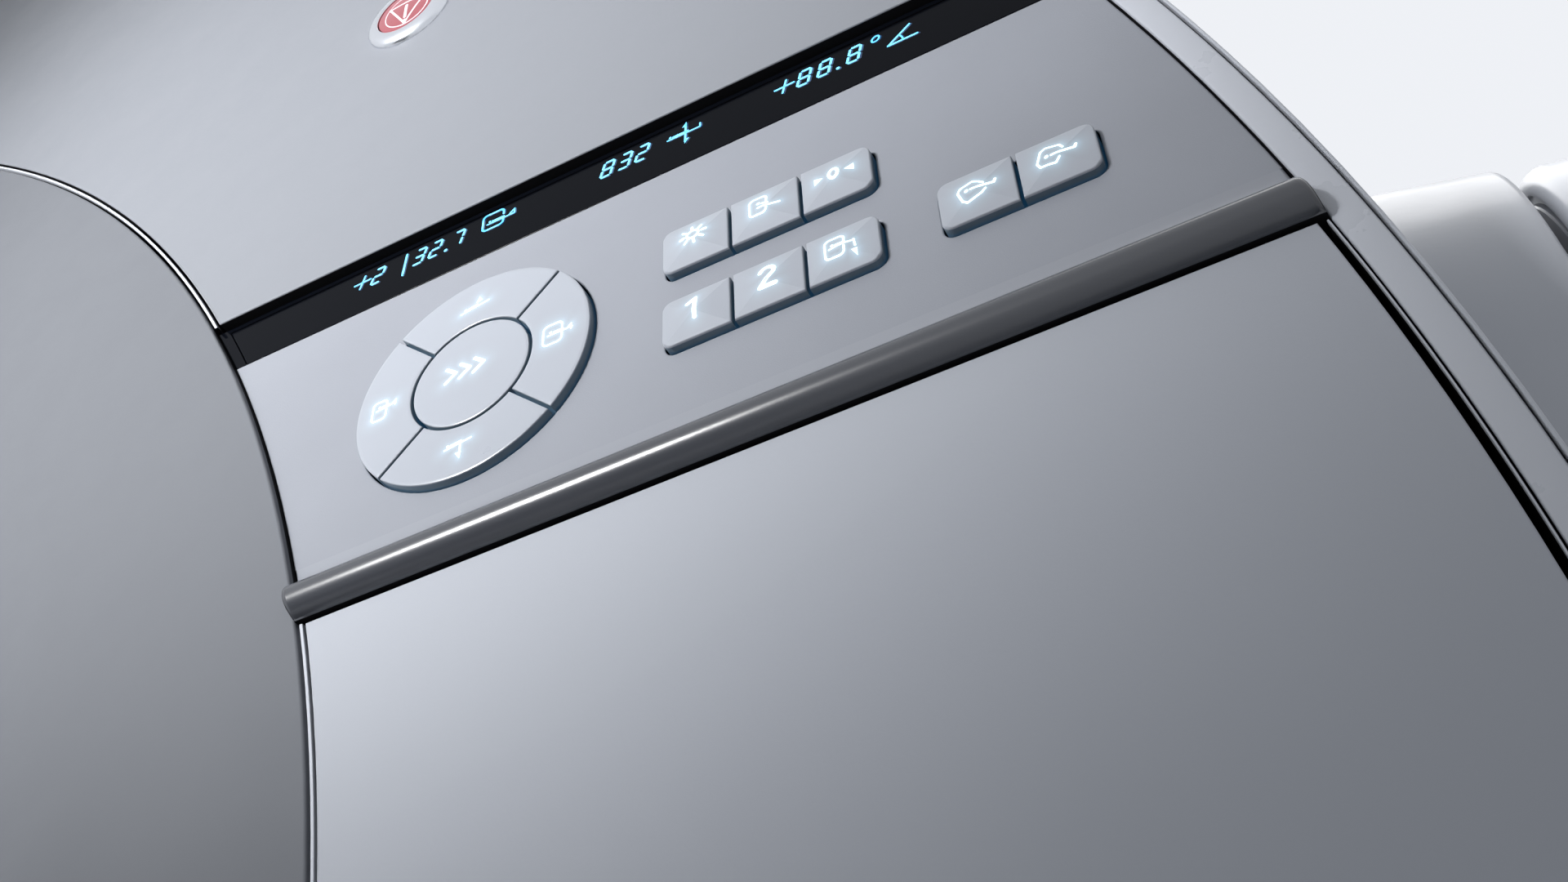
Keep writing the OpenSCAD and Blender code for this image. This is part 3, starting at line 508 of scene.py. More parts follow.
def edge_round(r, steps=5):
    """Inset and drop of each step round a moulded edge, from its face down to its side."""
    return [(r * (1 - math.sin(math.pi / 2 * i / steps)), r * (1 - math.cos(math.pi / 2 * i / steps)))
            for i in range(steps + 1)]


quarter = math.pi / 2


# Skins: meshes gathered point by point in the face's own coordinates
class Skin:
    def __init__(self):
        self.points = []
        self.faces = []
        self.paint = []
        self.soft = {}
        self.level = set()

    def add(self, points):
        first = len(self.points)
        self.points += points
        return list(range(first, len(self.points)))

    def face(self, corners, paint=0):
        self.faces.append(tuple(corners))
        self.paint.append(paint)

    def strip(self, a, b, loop=True, paint=0):
        count = len(a) if loop else len(a) - 1
        for i in range(count):
            j = (i + 1) % len(a)
            self.face((a[i], a[j], b[j], b[i]), paint)

    def fill(self, outer, holes=(), paint=0):
        chains = [outer] + list(holes)
        flat = [i for chain in chains for i in chain]
        planes = [[Vector((self.points[i][0], self.points[i][1], 0)) for i in chain] for chain in chains]
        for a, b, c in tessellate_polygon(planes):
            self.level.add(len(self.faces))
            self.face((flat[a], flat[b], flat[c]), paint)

    def strips(self, chains, loop=True):
        for a, b in zip(chains, chains[1:]):
            self.strip(a, b, loop)

    def walls(self, rows):
        """Strips up a key, the lowest painted as its side wall."""
        for k, (a, b) in enumerate(zip(rows, rows[1:])):
            self.strip(a, b, paint=1 if k == 0 else 0)

    def point(self, chain, apex):
        """Closes a loop to one point."""
        tip = self.add([apex])[0]
        for i in range(len(chain)):
            self.face((chain[i], chain[(i + 1) % len(chain)], tip))

    def soften(self, chain, weight, loop=True):
        count = len(chain) if loop else len(chain) - 1
        for i in range(count):
            self.soft[frozenset((chain[i], chain[(i + 1) % len(chain)]))] = weight

    def piece(self, name, slot, nodes=(), body="gantry", mats=None, width=0.0, sharp=35.0, flat=False):
        """The skin as a piece, its softened edges rounded to a width."""
        obj = make(name, [at(*p) for p in self.points], self.faces, slot, body, nodes, sharp, mats, flat)
        for poly, index in zip(obj.data.polygons, self.paint):
            poly.material_index = index
            poly.use_smooth = not flat and poly.index not in self.level
        if width:
            layer = obj.data.attributes.new("bevel_weight_edge", "FLOAT", "EDGE")
            for edge in obj.data.edges:
                layer.data[edge.index].value = self.soft.get(frozenset(edge.vertices), 0)
            mod = obj.modifiers.new("edges", "BEVEL")
            mod.limit_method = "WEIGHT"
            mod.width = width / 1000
            mod.segments = 5
            mod.use_clamp_overlap = False
        return obj


def lift(chain, z):
    return [(x, y, z) for x, y in chain]


def side_x(radius, y):
    return math.sqrt(radius * radius - y * y)


def band_loop(y_low, y_high, r_in, r_out):
    """A stretch of the face's right side between two heights and two radii, heights from the scan axis."""
    points = []
    for y0, y1, r0, r1 in ((y_low, y_high, r_in, r_out), (y_high, y_low, r_out, r_in)):
        for i in range(COLUMNS):
            t = i / COLUMNS
            points.append((side_x(r0, y0) * (1 - t) + side_x(r1, y0) * t, y0))
        for i in range(8):
            y = y0 + (y1 - y0) * i / 8
            points.append((side_x(r1, y), y))
    return points


def circle_loop(x, y, r, steps=96):
    return arc(x, y, r, 0, 2 * math.pi, steps)[:-1]


def box_loop(x, y, w, h, corner, left=True, right=True, steps=8):
    """A box from its lower left corner, with its left and right ends' corners rounded."""
    points = []
    if right:
        points += arc(x + w - corner, y + corner, corner, -quarter, 0, steps)
        points += arc(x + w - corner, y + h - corner, corner, 0, quarter, steps)
    else:
        points += [(x + w, y), (x + w, y + h)]
    if left:
        points += arc(x + corner, y + h - corner, corner, quarter, 2 * quarter, steps)
        points += arc(x + corner, y + corner, corner, 2 * quarter, 3 * quarter, steps)
    else:
        points += [(x, y + h), (x, y)]
    return points


def shade_low(obj, limit, r_in=0.0):
    """Paints shade: blackens the walls that stand in a gap, below a distance from the scan plane."""
    index = len(obj.data.materials)
    obj.data.materials.append(M["gap_painted_shade"])
    for poly in obj.data.polygons:
        x, y, z = poly.center
        if -y * 1000 < limit and abs(poly.normal.y) < 0.7 and math.hypot(x, z - ISO_H / 1000) * 1000 > r_in:
            poly.material_index = index
    return obj


# Front covers
def upper_loop(inset):
    """Counter-clockwise outline of the upper cover, drawn in by an inset."""
    r_out = SHELL_R - COVER_OFF - inset
    r_in = RING_R + RING_GAP + inset
    right = SPLIT_HIGH + inset
    left = SPLIT_LOW + SEAM + inset
    points = arc(0, 0, r_out, math.asin(right / r_out), math.pi - math.asin(left / r_out), 240)
    return points + arc(0, 0, r_in, math.pi - math.asin(left / r_in), math.asin(right / r_in), 200)


def lower_loop(inset):
    r = SHELL_R - COVER_OFF - inset
    low = CHORD_DROP - COVER_OFF - inset
    top = SPLIT_LOW - inset
    corner = math.asin(low / r)
    start = math.asin(top / r)
    points = arc(0, 0, r, math.pi - start, math.pi + corner, 90)
    points += underside(r, low)
    points += arc(0, 0, r, -corner, start, 90)
    r_in = RING_R + RING_GAP + inset
    inner = math.asin(top / r_in)
    points += arc(0, 0, r_in, inner, -math.pi - inner, 240)
    return points


def cover(name, outline, node, paint, holes=()):
    """A hollow cover: its inside, its wall down to the ledge and its rounded edge up to the face."""
    skin = Skin()
    edge = [(COVER_T, FACE_D - COVER_T), (COVER_T, LEDGE_Z), (0, LEDGE_Z)]
    edge += [(inset, FACE_D - drop) for inset, drop in reversed(edge_round(0.5))]
    chains = [skin.add(lift(outline(inset), z)) for inset, z in edge]
    skin.strips(chains)
    front = [skin.add(lift(hole, FACE_D)) for hole in holes]
    back = [skin.add(lift(hole, FACE_D - COVER_T)) for hole in holes]
    for a, b in zip(front, back):
        skin.strip(a, b)
    skin.fill(chains[-1], front)
    skin.fill(chains[0], back)
    shade_low(skin.piece(name, "cover_front", [node], mats=(M[paint],)), COVER_SHADE)


STOP = (PAD_X - STOP_DX, PAD_Y + STOP_DY)
cover("upper_cover_moulding", upper_loop, "front_cover_upper", "cover_upper",
      [circle_loop(*STOP, BEZEL_IN + STOP_GAP, 72)])
cover("lower_cover_moulding", lower_loop, "front_cover_lower", "cover_front")


def bore_profile():
    points = [(BORE_R, WINDOW_W)]
    points += arc(LIP_START, LIP_Z, LIP_ROUND, quarter + CONE, quarter, 28)
    points += arc(RING_R - RING_EDGE, FACE_D - RING_EDGE, RING_EDGE, quarter, 0, 6)
    points += [(RING_R, EDGE_DARK), (RING_R, LEDGE_Z), (RING_R + RING_FLANGE, LEDGE_Z),
               (RING_R + RING_FLANGE, LEDGE_Z - LEDGE_T),
               (RING_R - RING_T, LEDGE_Z - LEDGE_T), (RING_R - RING_T, FACE_D - RING_T)]
    points += arc(LIP_START, LIP_Z, LIP_ROUND - RING_T, quarter, quarter + CONE, 20)
    points += [(BORE_R + RING_T / math.sin(CONE), WINDOW_W)]
    return points


bore_moulding = lathe("bore_cover_moulding", bore_profile(), "cover_bore", ["bore_cover_front"], sharp=25)
shade_low(weigh(bore_moulding), COVER_SHADE, RING_R - 0.5)

# Trim ring: a broad pale band set in from the shell's rolled edge
RIM_SHAPE = [
    (3.5, LEDGE_Z - LEDGE_T), (3.5, GROOVE_LOW), (GROOVE_OFF, GROOVE_LOW), (GROOVE_OFF, GROOVE_DARK),
    (GROOVE_OFF, RIM_Z - 0.6), (GROOVE_OFF + 0.18, RIM_Z - 0.18), (GROOVE_OFF + 0.6, RIM_Z),
    (RIM_IN - 0.5, RIM_Z), (RIM_IN - 0.15, RIM_Z - 0.15), (RIM_IN, RIM_Z - 0.5), (RIM_IN, TRIM_DARK),
    (RIM_IN, LEDGE_Z), (RIM_IN + LEDGE_W, LEDGE_Z), (RIM_IN + LEDGE_W, LEDGE_Z - LEDGE_T),
]
shade_low(gantry_sweep("trim_moulding", RIM_SHAPE, "trim_pale", ["trim_ring"], sharp=50), TRIM_SHADE)


STRIP_STOP = 0.6
OUTER_STRIP = 9.2
INNER_STRIP = 1.0


def edge_strip(name, profile, outline):
    """A thin upright strip in a gap, beside the covers and not beside the panel."""
    loops = [[at(x, y, z) for x, y in outline(inset)] for inset, z in profile]
    shade_low(make(name, *ribbon(loops), "trim_pale", "gantry", sharp=50), TRIM_SHADE)


def strip_shape(inset, width, top):
    left = [(inset, LEDGE_Z), (inset, TRIM_DARK), (inset, top - 0.15), (inset + 0.12, top)]
    return left + [(2 * inset + width - x, z) for x, z in reversed(left)]


def outer_run(inset):
    r = SHELL_R - inset
    low = CHORD_DROP - inset
    corner = math.asin(low / r)
    points = arc(0, 0, r, math.asin((SPLIT_HIGH - STRIP_STOP) / r), math.pi + corner, 300)
    points += underside(r, low)
    return points + arc(0, 0, r, -corner, math.asin((SPLIT_LOW + STRIP_STOP) / r), 120)


def inner_run(inset):
    r = RING_R + inset
    start = math.asin((SPLIT_HIGH - STRIP_STOP) / r)
    return arc(0, 0, r, start, 2 * math.pi + math.asin((SPLIT_LOW + STRIP_STOP) / r), 360)


edge_strip("outer_gap_strip", strip_shape(OUTER_STRIP, 0.5, RIM_Z), outer_run)
edge_strip("inner_gap_strip", strip_shape(INNER_STRIP, 1.0, FACE_D - 0.4), inner_run)

# Side shell: its rolled edge, and the rabbet that the trim ring is let into
SHELL_EDGE = [(0.45 - 0.45 * math.cos(math.pi * i / 8), RIM_Z + 0.05 + 0.45 * math.sin(math.pi * i / 8))
              for i in range(9)]
SHELL_EDGE += [(1.0, EDGE_DARK), (1.0, GROOVE_LOW), (SHELL_T, GROOVE_LOW)]


def shoulder_loop(grow, x, low=None):
    """The shoulder's rounded outline as seen from the side, at one distance from the middle."""
    half = SHOULDER_HALF + grow
    top = SHOULDER_TOP + grow
    r_top = SHOULDER_ROUND + grow
    if low is None:
        chain = box_loop(-half, -top, 2 * half, 2 * top, r_top, steps=24)
    else:
        foot = STAND_ROUND + grow
        chain = arc(half - foot, low + foot, foot, -quarter, 0, 12)
        chain += arc(half - r_top, top - r_top, r_top, 0, quarter, 24)
        chain += arc(r_top - half, top - r_top, r_top, quarter, 2 * quarter, 24)
        chain += arc(foot - half, low + foot, foot, 2 * quarter, 3 * quarter, 12)
    return [(x / 1000, y / 1000, (ISO_H + z) / 1000) for y, z in chain]


SHELL_GAP = 1.0
SHELL_STEPS = 160
SHOULDER_HALF = 422.0
SHOULDER_TOP = 346.0
SHOULDER_ROUND = 151.0
SHOULDER_GAP = 2.0
SHOULDER_HOLE = 65.0
SHOULDER_X = 957.0
SHOULDER_ROOT = 832.0
SHOULDER_EDGE = 4.0
SHOULDER_TAPER = 23.0
STAND_X = 962.0
STAND_OUT = 1102.0
STAND_IN = 4.0
STAND_EDGE = 6.0
STAND_TAPER = 14.0
STAND_LOW = 20.0
STAND_ROUND = 40.0
STAND_HOLE = 75.0
FOOT_HALF = 365.0
FOOT_TOP = 88.0

# Inset and depth of each step from the plate over the groove to the stand's inner face
PLATE_STEPS = ((14.4, 0.0), (13.9, 0.5), (13.7, 2.0), (11.3, 2.0), (11.1, 0.5), (10.6, 0.0))


def mirrored(loops, side):
    return [[(side * x, y, z) for x, y, z in loop] for loop in loops]


def shoulder_loops(grow, end):
    loops = [shoulder_loop(SHOULDER_TAPER + grow, SHOULDER_ROOT)]
    for i in range(9):
        a = quarter * i / 8
        loops.append(shoulder_loop(grow - SHOULDER_EDGE * (1 - math.cos(a)),
                                   end - SHOULDER_EDGE + SHOULDER_EDGE * math.sin(a)))
    return loops


def cut(obj, loops):
    """Takes the solid inside a stack of loops out of a piece."""
    tool = make("tool", *rings(loops, caps=True), "cover_pale")
    mod = obj.modifiers.new("cut", "BOOLEAN")
    mod.operation = "DIFFERENCE"
    mod.solver = "EXACT"
    mod.object = tool
    applied(obj)
    bpy.data.objects.remove(tool)
    crease(obj.data, 35.0)


def applied(obj):
    """Applies every modifier of a piece."""
    graph = bpy.context.evaluated_depsgraph_get()
    mesh = bpy.data.meshes.new_from_object(obj.evaluated_get(graph))
    obj.modifiers.clear()
    obj.data = mesh


def shell_half(side, name, node):
    """One half of the band round the gantry, cut where the shoulders come out."""
    chains = []
    for inset, z in SHELL_EDGE + [(i, -z) for i, z in reversed(SHELL_EDGE)]:
        r = SHELL_R - inset
        low = CHORD_DROP - inset
        c = math.asin(low / r)
        gap = math.asin(SHELL_GAP / r)
        if side > 0:
            chain = arc(0, 0, r, gap, math.pi - gap, SHELL_STEPS)
        else:
            chain = arc(0, 0, r, math.pi + gap, math.pi + c, SHELL_STEPS // 2)
            chain += underside(r, low)
            chain += arc(0, 0, r, -c, -gap, SHELL_STEPS // 2)
        chains.append([at(x, y, z) for x, y in chain])
    obj = make(name, *ribbon(chains), "cover_pale", "gantry", [node])
    for way in (1, -1):
        cut(obj, mirrored(shoulder_loops(SHOULDER_GAP, SHOULDER_X + 20), way))
    return weigh(obj)


for side, name in ((1, "upper"), (-1, "lower")):
    shell_half(side, "shell_band_" + name, "shell_" + name)


def shaft_hole(x_from, x_to, r):
    """Loops of a hole for the trunnion's shaft."""
    return [[(x / 1000, r * math.cos(a) / 1000, (ISO_H + r * math.sin(a)) / 1000) for a in turns(96)]
            for x in (x_from, x_to)]


def shoulder(side, name, node):
    outer = shoulder_loops(0.0, SHOULDER_X)
    inner = [shoulder_loop(SHOULDER_TAPER - WALL, SHOULDER_ROOT), shoulder_loop(-WALL, SHOULDER_X - WALL)]
    loops = mirrored(list(reversed(outer)) + inner, side)
    obj = make(name, *rings(loops, caps=True), "cover_pale", "gantry", [node])
    cut(obj, mirrored(shaft_hole(900, 1000, SHOULDER_HOLE), side))
    return weigh(obj)


for side, name in ((1, "right"), (-1, "left")):
    shoulder(side, "shoulder_moulding_" + name, "shoulder_" + name)


def stand_loops(wall, low):
    loops = []
    inner = (STAND_X + wall, 0.0, 1, range(8, -1, -1))
    outer = (STAND_OUT - wall, STAND_TAPER, -1, range(9))
    for x, taper, way, order in (inner, outer):
        for i in order:
            a = quarter * i / 8
            loops.append(shoulder_loop(-STAND_IN - wall - taper - STAND_EDGE * (1 - math.cos(a)),
                                       x + way * STAND_EDGE * (1 - math.sin(a)), low))
    return loops


def stand(side, name, node):
    """Stand cover: rounded box with a plate let into its inner face behind a groove."""
    low = STAND_LOW - ISO_H
    plate = [shoulder_loop(-inset, STAND_X + deep, low + inset) for inset, deep in PLATE_STEPS]
    loops = mirrored(plate + stand_loops(0.0, low), side)
    obj = make(name, *rings(loops, caps=True), "cover_pale", "base", [node])
    foot = ((-1, -FOOT_HALF), (5, -FOOT_HALF), (5, FOOT_HALF), (-1, FOOT_HALF))
    foot_gap = [[((STAND_X + x) / 1000, y / 1000, z / 1000) for x, y in foot] for z in (0, FOOT_TOP)]
    for hole in (stand_loops(WALL, low - WALL), shaft_hole(STAND_X - 5, STAND_X + 8, STAND_HOLE), foot_gap):
        cut(obj, mirrored(hole, side))
    return weigh(obj)


for side, name in ((1, "right"), (-1, "left")):
    stand(side, "stand_moulding_" + name, "stand_cover_" + name)


# Control panel
LIP_C = (LIP_R - PANEL_LOW, FACE_D + LIP_PROUD - LIP_R)
LEAVE = (LIP_C[0] + LIP_R * math.sin(SWEEP), LIP_C[1] + LIP_R * math.cos(SWEEP))
SWEEP_TOP = PANEL_Z + SWEEP_R * (1 - math.cos(SWEEP))
FLAT_END = LEAVE[0] + (LEAVE[1] - SWEEP_TOP) / math.tan(SWEEP) + SWEEP_R * math.sin(SWEEP)
COLUMNS = 56


def panel_row(y, z):
    """Points across the panel at one height above the pad centre."""
    left = side_x(PANEL_IN, PAD_Y + y)
    right = side_x(PANEL_OUT, PAD_Y + y)
    return [(left + (right - left) * i / COLUMNS, PAD_Y + y, z) for i in range(COLUMNS + 1)]


def key_wells():
    """Outline of each opening for keys, as a function of how far it is grown."""
    def well(x, top, w):
        return lambda g: box_loop(PAD_X + x - KEY_CLEAR - g, PAD_Y + top - KEY_H - KEY_CLEAR - g,
                                  w + 2 * KEY_CLEAR + 2 * g, KEY_H + 2 * KEY_CLEAR + 2 * g, 3.4 + g)
    row = 3 * KEY_W + 2 * KEY_GAP
    return [lambda g: circle_loop(PAD_X, PAD_Y, PAD_R + KEY_CLEAR + g), well(BLOCK_X, ROW_ONE, row),
            well(BLOCK_X, ROW_TWO, row), well(PAIR_X, PAIR_Y, 2 * KEY_W + KEY_GAP)]


def panel_flat(low):
    skin = Skin()
    heights = [low + (STRIP_LOW - low) * i / 30 for i in range(31)]
    edge = ((0.4, PANEL_Z), (0.12, PANEL_Z - 0.12), (0.0, PANEL_Z - 0.4), (0.0, LEDGE_Z))
    sides = []
    for radius, way in ((PANEL_IN, 1), (PANEL_OUT, -1)):
        chains = [skin.add([(side_x(radius + way * inset, PAD_Y + y), PAD_Y + y, z) for y in heights])
                  for inset, z in edge]
        skin.strips(chains, loop=False)
        sides.append(chains[0])
    left, right = sides
    below = skin.add(panel_row(low, PANEL_Z)[1:-1])
    above = skin.add(list(reversed(panel_row(STRIP_LOW, PANEL_Z)[1:-1])))
    holes = []
    for well in key_wells():
        chains = [skin.add(lift(well(grow), z)) for grow, z in (*edge[:3], (0.0, BOARD_Z))]
        skin.strips(chains)
        holes.append(chains[0])
    skin.fill([left[0]] + below + right + above + list(reversed(left[1:])), holes)
    hole = skin.add(lift(strip_loop(0.0), PANEL_Z))
    seat = skin.add(lift(strip_loop(0.0), PANEL_Z - GLASS_T))
    skin.strip(hole, seat, paint=1)
    skin.fill(seat, paint=1)
    # The rim above and at the ends of the glass, and the panel's upper wall, take the glass's black: painted
    # shade standing for the shaded wall under the upper cover's edge
    outline = band_loop(PAD_Y + STRIP_LOW, PAD_Y + PANEL_HIGH, PANEL_IN, PANEL_OUT)
    border = skin.add(lift(outline, PANEL_Z))
    foot = skin.add(lift(outline, LEDGE_Z))
    skin.strip(border[COLUMNS:] + [border[0]], foot[COLUMNS:] + [foot[0]], loop=False, paint=1)
    skin.fill(border[COLUMNS:] + [border[0]] + list(reversed(hole[COLUMNS:] + [hole[0]])), paint=1)
    obj = skin.piece("panel_moulding", "panel_grey", ["control_panel"],
                     mats=(M["panel_grey"], M["display_glass"]))
    shade_low(obj, PANEL_SHADE)


def panel_lip(low):
    """The panel's lower edge: a concave sweep up to a rolled lip, its ends rounded."""
    skin = Skin()
    rows = [skin.add(panel_row(low, PANEL_Z)), skin.add(panel_row(FLAT_END, PANEL_Z))]
    for a in range(1, 13):
        t = 3 * quarter - SWEEP * a / 12
        rows.append(skin.add(panel_row(FLAT_END + SWEEP_R * math.cos(t),
                                       PANEL_Z + SWEEP_R + SWEEP_R * math.sin(t))))
    for a in range(19):
        t = quarter - SWEEP + (quarter + SWEEP) * a / 18
        rows.append(skin.add(panel_row(LIP_C[0] + LIP_R * math.cos(t), LIP_C[1] + LIP_R * math.sin(t))))
    rows.append(skin.add(panel_row(-PANEL_LOW, LEDGE_Z)))
    skin.strips(rows, loop=False)
    for end in (0, -1):
        chain = [row[end] for row in rows[:-1]]
        foot = skin.add([(*skin.points[i][:2], LEDGE_Z) for i in chain])
        foot[-1] = rows[-1][end]
        for i in range(len(chain) - 1):
            skin.face((chain[i], chain[i + 1], foot[i + 1], foot[i]))
            fade = min(1.0, (len(chain) - 2 - i) / 5)
            skin.soften(chain[i:i + 2], (0.2 + 0.8 * min(1.0, i / 11)) * fade, loop=False)
    obj = skin.piece("panel_lip", "panel_grey", mats=(M["lip_grey_with_painted_shade"],), width=2.0)
    shade_low(obj, PANEL_SHADE)


def strip_loop(inset):
    return band_loop(PAD_Y + STRIP_LOW + inset, PAD_Y + STRIP_LOW + STRIP_H - inset,
                     PANEL_IN + GLASS_RIM + inset, PANEL_OUT - GLASS_RIM - inset)


panel_flat(FLAT_END + 1.5)
panel_lip(FLAT_END + 1.5)


def display_glass():
    skin = Skin()
    edge = [(0.0, GLASS_T)] + edge_round(0.5, 4)[::-1]
    chains = [skin.add(lift(strip_loop(0.2 + inset), PANEL_Z - drop)) for inset, drop in edge]
    skin.strips(chains)
    skin.fill(chains[-1])
    skin.fill(chains[0])
    skin.piece("display_pane", "display_glass", ["display_window"])


display_glass()


# Keys
KEY_PAINTS = (M["key_pearl"], M["key_wall"])
KEY_STEP = 0.55
KEY_FOOT = 1.1
KEY_FACE = 0.965
KEY_RINGS = 22


def roof(x, y, cx, cy):
    """Height of a key's pyramid over a point."""
    u = 1 - abs(x - cx) / (KEY_W / 2)
    v = 1 - abs(y - cy) / (KEY_H / 2)
    return KEY_TOP + RISE * max(0.0, min(u, v))


def facet_key(node, x, top, ends):
    """A key drawn up to a point, in steps short enough to carry the light of its sign."""
    cx = PAD_X + x + KEY_W / 2
    cy = PAD_Y + top - KEY_H / 2
    loop = box_loop(PAD_X + x, PAD_Y + top - KEY_H, KEY_W, KEY_H, KEY_CORNER, left=ends < 0, right=ends > 0)
    outer = dense(loop, KEY_STEP, round)

    def shrunk(t):
        return [(cx + (px - cx) * t, cy + (py - cy) * t) for px, py in outer]

    chains = [lift(outer, KEY_LOW + KEY_FOOT), lift(outer, KEY_TOP - 0.6)]
    chains.append(lift(shrunk(0.987), KEY_TOP - 0.14))
    for k in range(KEY_RINGS):
        drop = 0.02 if k == 0 else 0.0
        ring = shrunk(KEY_FACE * (1 - k / KEY_RINGS))
        chains.append([(px, py, roof(px, py, cx, cy) - drop) for px, py in ring])
    skin = Skin()
    rows = [skin.add(chain) for chain in chains]
    skin.walls(rows)
    skin.point(rows[-1], (cx, cy, KEY_TOP + RISE))
    return skin.piece(node + "_cap", "key_pearl", [node], node, KEY_PAINTS, sharp=3.0, flat=True)


KEYS = {
    "key_light": (BLOCK_X, ROW_ONE, -1),
    "key_load": (BLOCK_X + PITCH, ROW_ONE, 0),
    "key_zero": (BLOCK_X + 2 * PITCH, ROW_ONE, 1),
    "key_one": (BLOCK_X, ROW_TWO, -1),
    "key_two": (BLOCK_X + PITCH, ROW_TWO, 0),
    "key_unload": (BLOCK_X + 2 * PITCH, ROW_TWO, 1),
    "key_tilt_back": (PAIR_X, PAIR_Y, -1),
    "key_tilt_front": (PAIR_X + PITCH, PAIR_Y, 1),
}
caps = {node: facet_key(node, *place) for node, place in KEYS.items()}


ARC_STEPS = 72
SLOT_STEPS = 20


def quarter_loop(turn, inset):
    """Outline of one quarter of the pad's ring, slots taken off, drawn in by an inset."""
    half = PAD_SLOT / 2 + inset
    r_in = PAD_MID_R + PAD_SLOT + inset
    r_out = PAD_R - inset
    a_in = math.asin(half / r_in)
    a_out = math.asin(half / r_out)
    points = arc(0, 0, r_out, a_out, quarter - a_out, ARC_STEPS)
    rise = [math.sqrt(r_out ** 2 - half ** 2), math.sqrt(r_in ** 2 - half ** 2)]
    points += run((half, rise[0]), (half, rise[1]), SLOT_STEPS)
    points += arc(0, 0, r_in, quarter - a_in, a_in, ARC_STEPS)
    points += run((rise[1], half), (rise[0], half), SLOT_STEPS)
    c = math.cos(turn - math.pi / 4)
    s = math.sin(turn - math.pi / 4)
    return [(PAD_X + x * c - y * s, PAD_Y + x * s + y * c) for x, y in points]


def pad_top(node, outline, fill):
    """Pad parts: side walls, a softened edge and a level top in fine steps."""
    skin = Skin()
    edge = ((0.0, KEY_LOW), (0.0, KEY_TOP - 0.45), (0.12, KEY_TOP - 0.14), (0.42, KEY_TOP))
    rows = [skin.add(lift(outline(inset), z)) for inset, z in edge]
    skin.walls(rows)
    fill(skin, rows[-1])
    return skin.piece(node + "_cap", "key_pearl", [node], node, KEY_PAINTS, sharp=30)


def quarter_top(skin, edge):
    """Fills a quarter's top with a grid between its outer and inner arcs."""
    inner_from = ARC_STEPS + SLOT_STEPS
    inner_to = inner_from + ARC_STEPS
    outer = edge[0:ARC_STEPS + 1]
    inner = list(reversed(edge[inner_from:inner_to + 1]))
    left = edge[ARC_STEPS:inner_from + 1]
    right = [edge[0]] + list(reversed(edge[inner_to + 1:])) + [edge[inner_to]]
    rows = [outer]
    for k in range(1, SLOT_STEPS):
        t = k / SLOT_STEPS
        fresh = []
        for i in range(1, ARC_STEPS):
            xo, yo, _ = skin.points[outer[i]]
            xi, yi, _ = skin.points[inner[i]]
            fresh.append((xo + (xi - xo) * t, yo + (yi - yo) * t, KEY_TOP))
        rows.append([right[k]] + skin.add(fresh) + [left[k]])
    rows.append(inner)
    skin.strips(rows, loop=False)


def disc_top(skin, edge):
    """Fills the middle button's top with rings that shrink to its centre."""
    rows = [edge]
    rim = [skin.points[i][:2] for i in edge]
    for k in range(1, 24):
        t = 1 - k / 24
        rows.append(skin.add([(PAD_X + (x - PAD_X) * t, PAD_Y + (y - PAD_Y) * t, KEY_TOP) for x, y in rim]))
    skin.strips(rows)
    skin.point(rows[-1], (PAD_X, PAD_Y, KEY_TOP))


for index, node in enumerate(("pad_right", "pad_up", "pad_left", "pad_down")):
    turn = index * quarter
    caps[node] = pad_top(node, lambda inset, turn=turn: quarter_loop(turn, inset), quarter_top)
caps["pad_middle"] = pad_top("pad_middle", lambda inset: circle_loop(PAD_X, PAD_Y, PAD_MID_R - inset, 120),
                             disc_top)


# Stop button
STOP_DEPTH = 20.0
CAP_R = BEZEL_IN - 0.3
CAP_EDGE = FACE_D + BEZEL_H - 0.5
CAP_RISE = 0.8
CAP_SPHERE = (CAP_R ** 2 + CAP_RISE ** 2) / (2 * CAP_RISE)


def crown(r):
    """Height of the stop button's domed top at a distance from its middle."""
    return CAP_EDGE + CAP_RISE - CAP_SPHERE + math.sqrt(CAP_SPHERE ** 2 - r * r)


def stop_parts():
    low = FACE_D - STOP_DEPTH
    ridge = arc(0, 0, 1, quarter, 0, 10)
    profile = [(BEZEL_IN, low), (BEZEL_IN, FACE_D + BEZEL_H - 0.5),
               (BEZEL_IN + 0.15, FACE_D + BEZEL_H - 0.15)]
    profile += [(BEZEL_IN + 0.5 + (BEZEL_R - BEZEL_IN - 0.5) * x, FACE_D + BEZEL_H * y) for x, y in ridge]
    profile += [(BEZEL_IN + 1.5, FACE_D), (BEZEL_IN + 1.5, low - 3), (0.3, low - 3), (0.3, low)]
    weigh(lathe("stop_bezel_ring", profile, "bezel_silver", ["stop_bezel"], 144, STOP, sharp=60))
    low += 5
    profile = [(0.2, low), (CAP_R, low), (CAP_R, CAP_EDGE - 0.45), (CAP_R - 0.12, CAP_EDGE - 0.12),
               (CAP_R - 0.45, CAP_EDGE + 0.03)]
    profile += [(CAP_R * k / 16, crown(CAP_R * k / 16)) for k in range(15, 0, -1)]
    profile += [(0.05, CAP_EDGE + CAP_RISE)]
    weigh(lathe("stop_button_cap", profile, "stop_red", ["stop_button"], 144, STOP, body="stop_button",
                sharp=60))


stop_parts()


# Signs on the keys and the display, in millimetres from the pad's centre
TURN = 0.01
SIGN_STEP = 0.5
SIGN_PATCH = 0.9
SIGN_LIFT = 0.05
GLOW_NEAR = 1.3
GLOW_FAR = 9.0


def mark(x, y):
    """A sign's point, turned upright with the panel."""
    return (x + TURN * y, y - TURN * x)


def marks(*values):
    """Several of a sign's points, x and y by turns."""
    return [mark(x, y) for x, y in zip(values[::2], values[1::2])]


